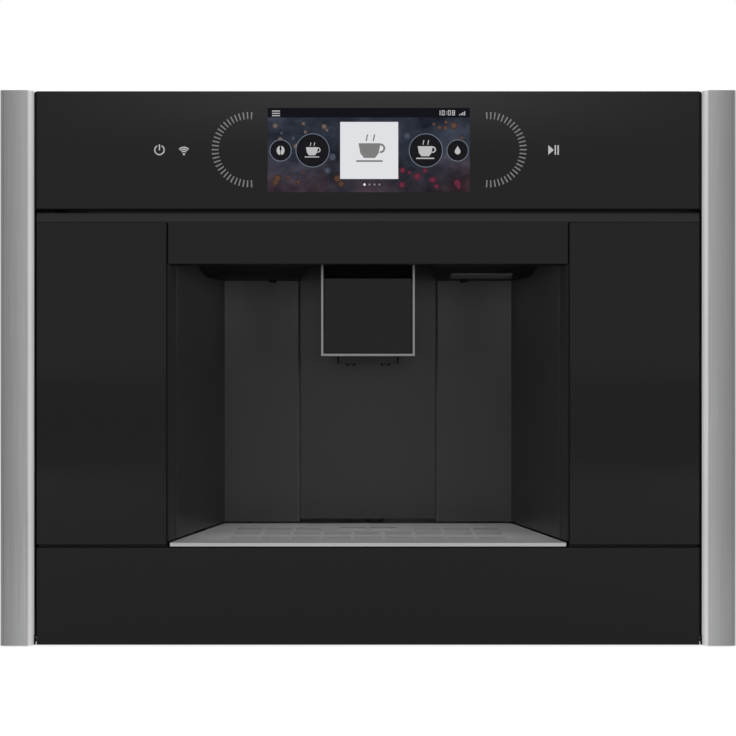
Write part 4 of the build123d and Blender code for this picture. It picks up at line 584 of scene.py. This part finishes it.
def flat_marks(name, outlines, layer, material, body="chassis"):
    """One object of flat polygons on the glass; each outline is a list of (x, z) in metres."""
    verts = []
    faces = []
    y = GLASS_Y - MARK_LIFT - LAYER_STEP * layer
    for outline in outlines:
        faces.append(range(len(verts), len(verts) + len(outline)))
        verts += [(x, y, z) for x, z in outline]
    mesh = bpy.data.meshes.new(name)
    mesh.from_pydata(verts, [], faces)
    mesh.update()
    if sum(face.normal.y for face in mesh.polygons) >= 0:
        mesh.flip_normals()
    marks = bpy.data.objects.new(name, mesh)
    bpy.context.collection.objects.link(marks)
    mesh.materials.append(material)
    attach(marks, body)


def pixel_box(left, top, right, bottom):
    x0, z1 = at_pixel(left, top)
    x1, z0 = at_pixel(right, bottom)
    return [(x0, z0), (x1, z0), (x1, z1), (x0, z1)]


def arc_outlines(px, py, inner, outer, start, end, steps=24):
    """A ring or arc between two radii in pixels, as quads; angles in degrees, anticlockwise."""
    x, z = at_pixel(px, py)
    quads = []
    for step in range(steps):
        a = math.radians(start + (end - start) * step / steps)
        b = math.radians(start + (end - start) * (step + 1) / steps)
        quads.append(
            [
                (x + radius * PIXEL * math.cos(angle), z + radius * PIXEL * math.sin(angle))
                for radius, angle in ((inner, a), (outer, a), (outer, b), (inner, b))
            ]
        )
    return quads


def disc_outline(px, py, radius, steps=20):
    x, z = at_pixel(px, py)
    turns = [2 * math.pi * step / steps for step in range(steps)]
    return [(x + radius * PIXEL * math.cos(t), z + radius * PIXEL * math.sin(t)) for t in turns]


def print_ink(name, level):
    made = Shader(name, grey(level), 0.4)
    ink = made.ramp(made.noise(900.0), ((0.3, grey(level * 0.9)), (0.7, grey(level * 1.1))))
    made.color(ink)
    return made.material


PRINT = print_ink("touch_print", 0.14)
ICON = print_ink("icon_print", 0.36)

# Two half rings of ticks, either side of the display, show where to sweep a finger.
# Their radii, width and row are in picture pixels.
TICKS = 29
TICK_PITCH = 6.7  # degrees
TICK_INNER = 30.6
TICK_OUTER = 37.6
TICK_WIDTH = 1.35  # at the outer end
TICK_NARROWING = 0.8  # of the inner end
TICK_ROW = 149.7
for side_name, px, middle_angle in (("left", 249.3, 180.0), ("right", 489.0, 0.0)):
    cx, cz = at_pixel(px, TICK_ROW)
    tick_outlines = []
    for tick in range(TICKS):
        angle = math.radians(middle_angle + (tick - (TICKS - 1) / 2) * TICK_PITCH)
        along = Vector((math.cos(angle), math.sin(angle)))
        across = Vector((-along.y, along.x)) * TICK_WIDTH / 2
        corners = (
            along * TICK_INNER - across * TICK_NARROWING,
            along * TICK_OUTER - across,
            along * TICK_OUTER + across,
            along * TICK_INNER + across * TICK_NARROWING,
        )
        tick_outlines.append([(cx + c.x * PIXEL, cz + c.y * PIXEL) for c in corners])
    flat_marks(f"tick_ring_{side_name}", tick_outlines, 0, PRINT)

# Standard symbols: power, wireless, start and pause
power_ring = arc_outlines(159.5, 150.0, 4.1, 5.3, 118, 422)
flat_marks("power_symbol", power_ring + [pixel_box(158.9, 144.4, 160.1, 150.4)], 0, ICON)
wireless_px = (184.0, 154.2)
wireless = [disc_outline(*wireless_px, 1.1, 12)]
for radius in (3.0, 5.0, 7.0):
    wireless += arc_outlines(*wireless_px, radius - 0.75, radius + 0.45, 45, 135, 10)
flat_marks("wireless_symbol", wireless, 0, ICON)
START_X = 548.2
START_TOP = 145.2
START_BOTTOM = 154.8
start_point = at_pixel(START_X + 5.6, 150.0)
start_triangle = [at_pixel(START_X, START_TOP), at_pixel(START_X, START_BOTTOM), start_point]
pause_bars = [pixel_box(left, START_TOP, left + 1.4, START_BOTTOM) for left in (554.6, 557.4)]
flat_marks("start_pause_symbol", [start_triangle] + pause_bars, 0, ICON)

# ---------------------------------------------------------------------------
# Display picture: a plain menu, with symbols in place of words
# ---------------------------------------------------------------------------
SCREEN = (267.7, 108.0, 469.8, 192.2)  # left, top, right, bottom in picture pixels
HEADER_BOTTOM = 117.5

backdrop = glowing("screen_backdrop", (0.05, 0.07, 0.11))
clouds = backdrop.noise(26.0, 4.0, (1, 1, 1.4))
warm = backdrop.noise(9.0, 2.0, (1, 1, 0.8))
cool_color = backdrop.ramp(
    clouds,
    (
        (0.34, (0.008, 0.01, 0.016)),
        (0.5, (0.026, 0.031, 0.046)),
        (0.62, (0.048, 0.055, 0.08)),
        (0.74, (0.11, 0.1, 0.11)),
    ),
)
warm_color = backdrop.ramp(
    clouds,
    ((0.38, (0.01, 0.006, 0.006)), (0.58, (0.055, 0.018, 0.02)), (0.72, (0.12, 0.045, 0.04))),
)
WARM_TOP = 0.405
WARM_FOOT = 0.372
low_down = backdrop.along(backdrop.part("Z"), WARM_TOP, WARM_FOOT)
warmth = backdrop.math("MULTIPLY", low_down, backdrop.spread(warm, 0.0, 1.6))
backdrop_color = backdrop.mix(warmth, cool_color, warm_color)
backdrop.link(backdrop_color, backdrop.surface.inputs["Emission Color"])

LIT_WHITE = glowing("screen_white", (0.74, 0.75, 0.78)).material
LIT_SOFT = glowing("screen_soft", (0.16, 0.19, 0.23)).material
LIT_PALE = glowing("screen_pale", grey(0.5)).material
LIT_DARK = glowing("screen_dark", (0.004, 0.005, 0.008)).material
LIT_BUTTON = glowing("screen_button", (0.008, 0.008, 0.011)).material
LIT_GREY = glowing("screen_grey", grey(0.2)).material

flat_marks("screen_backdrop", [pixel_box(*SCREEN)], 0, backdrop.material)
flat_marks("screen_header", [pixel_box(*SCREEN[:3], HEADER_BOTTOM)], 1, LIT_DARK)

# Menu symbol at the left of the header, clock and signal strength at the right
menu_lines = [pixel_box(272.0, top, 280.0, top + 1.0) for top in (110.6, 112.9, 115.2)]
flat_marks("screen_menu_symbol", menu_lines, 2, LIT_PALE)
SEGMENTS = {"0": "abcdef", "1": "bc", "8": "abcdefg"}
DIGIT_TOP = 110.4


def digit_outlines(digit, left, top, width=2.9, tall=5.0, line=0.75):
    """A seven-bar numeral."""
    right, low, mid = left + width, top + tall, top + tall / 2
    bars = {
        "a": (left, top, right, top + line),
        "b": (right - line, top, right, mid),
        "c": (right - line, mid, right, low),
        "d": (left, low - line, right, low),
        "e": (left, mid, left + line, low),
        "f": (left, top, left + line, mid),
        "g": (left, mid - line / 2, right, mid + line / 2),
    }
    return [pixel_box(*bars[bar]) for bar in SEGMENTS[digit]]


clock = []
for digit, left in (("1", 437.5), ("0", 441.7), ("0", 447.8), ("8", 452.0)):
    clock += digit_outlines(digit, left, DIGIT_TOP)
clock += [pixel_box(445.8, top, 446.6, top + 0.8) for top in (111.6, 113.8)]
flat_marks("screen_clock", clock, 2, LIT_PALE)
signal = [pixel_box(459.0 + 1.7 * bar, 114.4 - bar, 460.0 + 1.7 * bar, 115.4) for bar in range(4)]
flat_marks("screen_signal", signal, 2, LIT_PALE)

# Soft discs of light over the backdrop: sand and slate above, red and brown below
HEART_SHARE = 0.72
RIM_DIMNESS = 0.5
GLOWS = (  # name, colour, left, top, right and bottom of the field in pixels, how many
    ("sand", (0.15, 0.11, 0.09), (268.0, 121.0, 338.0, 150.0), 8),
    ("slate", (0.06, 0.07, 0.1), (268.0, 121.0, 469.0, 175.0), 14),
    ("brown", (0.09, 0.045, 0.03), (268.0, 168.0, 345.0, 190.0), 8),
    ("red", (0.13, 0.022, 0.045), (395.0, 166.0, 469.0, 190.0), 12),
    ("cocoa", (0.1, 0.055, 0.045), (432.0, 120.0, 469.0, 140.0), 6),
)
for glow_name, tint, (left, top, right, bottom), count in GLOWS:
    rims = []
    hearts = []
    for _ in range(count):
        radius = random.uniform(1.6, 4.2)
        px = random.uniform(left + radius, right - radius)
        py = random.uniform(top + radius, bottom - radius)
        rims.append(disc_outline(px, py, radius))
        hearts.append(disc_outline(px, py, radius * HEART_SHARE))
    dim = tuple(channel * RIM_DIMNESS for channel in tint)
    rim_light = glowing(f"{glow_name}_rim", dim).material
    heart_light = glowing(f"{glow_name}_heart", tint).material
    flat_marks(f"screen_{glow_name}_rims", rims, 1, rim_light)
    flat_marks(f"screen_{glow_name}_hearts", hearts, 2, heart_light)

# Round buttons left and right of the chosen card
MENU_MIDDLE = 150.5
BUTTONS = (
    ("left_small", 280.6, 11.0),
    ("left", 312.6, 17.0),
    ("right", 425.8, 17.0),
    ("right_small", 457.6, 11.0),
)
for button_name, px, radius in BUTTONS:
    disc = disc_outline(px, MENU_MIDDLE, radius, 40)
    flat_marks(f"screen_button_{button_name}", [disc], 3, LIT_BUTTON)
    rim = arc_outlines(px, MENU_MIDDLE, radius - 0.7, radius, 0, 360, 40)
    flat_marks(f"screen_button_rim_{button_name}", rim, 4, LIT_SOFT)
flat_marks("screen_card", [pixel_box(340.2, 122.0, 398.2, 179.0)], 3, LIT_WHITE)


def placed(px, py, size, corners):
    """A symbol's corners, given in shares of its size, set round a picture pixel."""
    x, z = at_pixel(px, py)
    return [(x + a * size * PIXEL, z + b * size * PIXEL) for a, b in corners]


def cup_outlines(px, py, size):
    """A cup seen from the side, with its handle, saucer and two wisps."""
    bowl = ((-0.5, 0.35), (0.5, 0.35), (0.42, -0.1), (0.25, -0.32), (-0.25, -0.32), (-0.42, -0.1))
    saucer = ((-0.6, -0.42), (0.6, -0.42), (0.6, -0.5), (-0.6, -0.5))
    shapes = [placed(px, py, size, bowl)]
    shapes += arc_outlines(
        px + 0.5 * size, py - 0.12 * size, 0.13 * size, 0.22 * size, start=100, end=-100, steps=8
    )
    shapes.append(placed(px, py, size, saucer))
    for shift in (-0.18, 0.14):
        wisp = ((shift, 0.45), (shift + 0.06, 0.45), (shift + 0.12, 0.75), (shift + 0.06, 0.75))
        shapes.append(placed(px, py, size, wisp))
    return shapes


def bean_outlines(px, py, size):
    """A coffee bean: an oval in two halves with a gap between them."""
    halves = []
    for side in (-1, 1):
        half = [(side * 0.06, 0.5), (side * 0.12, 0.17), (side * 0.02, -0.17), (side * 0.06, -0.5)]
        for step in range(7):
            turn = math.radians(-75 + 25 * step)
            half.append((side * (0.38 * math.cos(turn) + 0.06), 0.5 * math.sin(turn)))
        halves.append(placed(px, py, size, half))
    return halves


def drop_outline(px, py, size):
    """A drop: a round foot and a pointed top."""
    turns = [math.radians(angle) for angle in range(150, 391, 20)]
    foot = [(0.32 * math.cos(turn), 0.32 * math.sin(turn) - 0.12) for turn in turns]
    return placed(px, py, size, foot + [(0.0, 0.5)])


flat_marks("screen_cup_card", cup_outlines(369.5, 151.0, 22.0), 4, LIT_GREY)
flat_marks("screen_cup_left", cup_outlines(312.0, 151.5, 12.0), 5, LIT_PALE)
flat_marks("screen_cup_right", cup_outlines(425.2, 151.5, 15.0), 5, LIT_PALE)
flat_marks("screen_bean", bean_outlines(280.6, MENU_MIDDLE, 9.0), 5, LIT_PALE)
flat_marks("screen_drop", [drop_outline(457.6, MENU_MIDDLE, 9.0)], 5, LIT_PALE)
DOT_ROW = 184.6
dots = [disc_outline(px, DOT_ROW, 1.1, 12) for px in (369.5, 374.5, 379.5)]
flat_marks("screen_page_dots", dots, 3, LIT_GREY)
flat_marks("screen_page_dot_now", [disc_outline(364.5, DOT_ROW, 1.3, 12)], 3, LIT_WHITE)


# ---------------------------------------------------------------------------
# Camera, floor and light
# ---------------------------------------------------------------------------
WHITE = (1.0, 1.0, 1.0, 1.0)
FLOOR_REACH = 30.0
FLOOR_DROP = 0.4 * MM  # keeps the glides' feet clear of the floor's face
FLOOR_TONE = 0.35
FLOOR_SEEN = 0.82  # its own glow for the camera, on top of the light that falls on it
FLOOR_MIRRORED = 0.58  # and in gloss
WORLD_LIGHT = 0.55
WORLD_SEEN = 1.0

camera_data = bpy.data.cameras.new("camera")
camera_data.sensor_width = 36.0
camera_data.lens = 66.4
camera_data.clip_start = 0.05
camera = bpy.data.objects.new("camera", camera_data)
camera.location = (0.0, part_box("left_trim")[0].y - EYE_DISTANCE, EYE_HEIGHT)
camera.rotation_euler = (math.radians(90), 0.0, 0.0)
bpy.context.collection.objects.link(camera)
bpy.context.scene.camera = camera


def pale_floor():
    """Floor material that looks white to the camera and pale in gloss, and keeps a shadow."""
    material = bpy.data.materials.new("pale_floor")
    material.use_nodes = True
    tree = material.node_tree
    tree.nodes.clear()
    matt = add_node(tree, "ShaderNodeBsdfDiffuse")
    matt.inputs["Color"].default_value = (*grey(FLOOR_TONE), 1.0)
    rays = add_node(tree, "ShaderNodeLightPath")
    seen = add_node(tree, "ShaderNodeMath", operation="MULTIPLY")
    seen.inputs[1].default_value = FLOOR_SEEN
    strength = add_node(tree, "ShaderNodeMath", operation="MULTIPLY_ADD")
    strength.inputs[1].default_value = FLOOR_MIRRORED
    glow = add_node(tree, "ShaderNodeEmission")
    glow.inputs["Color"].default_value = WHITE
    both = add_node(tree, "ShaderNodeAddShader")
    output = add_node(tree, "ShaderNodeOutputMaterial")
    for out, into in (
        (rays.outputs["Is Camera Ray"], seen.inputs[0]),
        (rays.outputs["Is Glossy Ray"], strength.inputs[0]),
        (seen.outputs[0], strength.inputs[2]),
        (strength.outputs[0], glow.inputs["Strength"]),
        (matt.outputs[0], both.inputs[0]),
        (glow.outputs[0], both.inputs[1]),
        (both.outputs[0], output.inputs["Surface"]),
    ):
        tree.links.new(out, into)
    return material


def studio_world():
    """World that is white to the camera, in gloss and through glass, and dimmer as a light."""
    world = bpy.data.worlds.new("studio")
    world.use_nodes = True
    tree = world.node_tree
    rays = add_node(tree, "ShaderNodeLightPath")
    seen = rays.outputs["Is Camera Ray"]
    for ray in ("Is Glossy Ray", "Is Transmission Ray"):
        either = add_node(tree, "ShaderNodeMath", operation="MAXIMUM")
        tree.links.new(seen, either.inputs[0])
        tree.links.new(rays.outputs[ray], either.inputs[1])
        seen = either.outputs[0]
    level = add_node(tree, "ShaderNodeMapRange")
    level.inputs["To Min"].default_value = WORLD_LIGHT
    level.inputs["To Max"].default_value = WORLD_SEEN
    tree.links.new(seen, level.inputs["Value"])
    background = tree.nodes["Background"]
    background.inputs["Color"].default_value = WHITE
    tree.links.new(level.outputs["Result"], background.inputs["Strength"])
    return world


floor_mesh = bpy.data.meshes.new("floor")
floor_corners = [
    (-FLOOR_REACH, -FLOOR_REACH, 0),
    (FLOOR_REACH, -FLOOR_REACH, 0),
    (FLOOR_REACH, FLOOR_REACH, 0),
    (-FLOOR_REACH, FLOOR_REACH, 0),
]
floor_mesh.from_pydata(floor_corners, [], [(0, 1, 2, 3)])
floor_mesh.materials.append(pale_floor())
floor = bpy.data.objects.new("floor", floor_mesh)
floor.location.z = -FLOOR_DROP
bpy.context.collection.objects.link(floor)
bpy.context.scene.world = studio_world()


def softbox(name, place, target, width, height, power, mirrored=True):
    """A rectangular lamp aimed at a target; glossy faces mirror it unless mirrored is False."""
    lamp = bpy.data.lights.new(name, "AREA")
    lamp.shape = "RECTANGLE"
    lamp.size = width
    lamp.size_y = height
    lamp.energy = power
    box = bpy.data.objects.new(name, lamp)
    box.location = place
    aim = Vector(target) - Vector(place)
    box.rotation_euler = aim.to_track_quat("-Z", "Y").to_euler()
    box.visible_glossy = mirrored
    bpy.context.collection.objects.link(box)


MIDDLE = (0.0, -0.1, 0.22)  # of the object's front half, which the lamps aim at
softbox("top_softbox", (0.0, -0.9, 1.7), MIDDLE, 1.6, 1.0, 9.0)
softbox("left_softbox", (-1.4, -1.7, 0.35), MIDDLE, 0.8, 0.6, 18.0, mirrored=False)
softbox("right_softbox", (1.4, -1.7, 0.35), MIDDLE, 0.8, 0.6, 22.0, mirrored=False)
softbox("rear_softbox", (0.3, 1.8, 1.4), MIDDLE, 1.4, 1.0, 14.0, mirrored=False)

bpy.context.scene.view_settings.view_transform = "Standard"
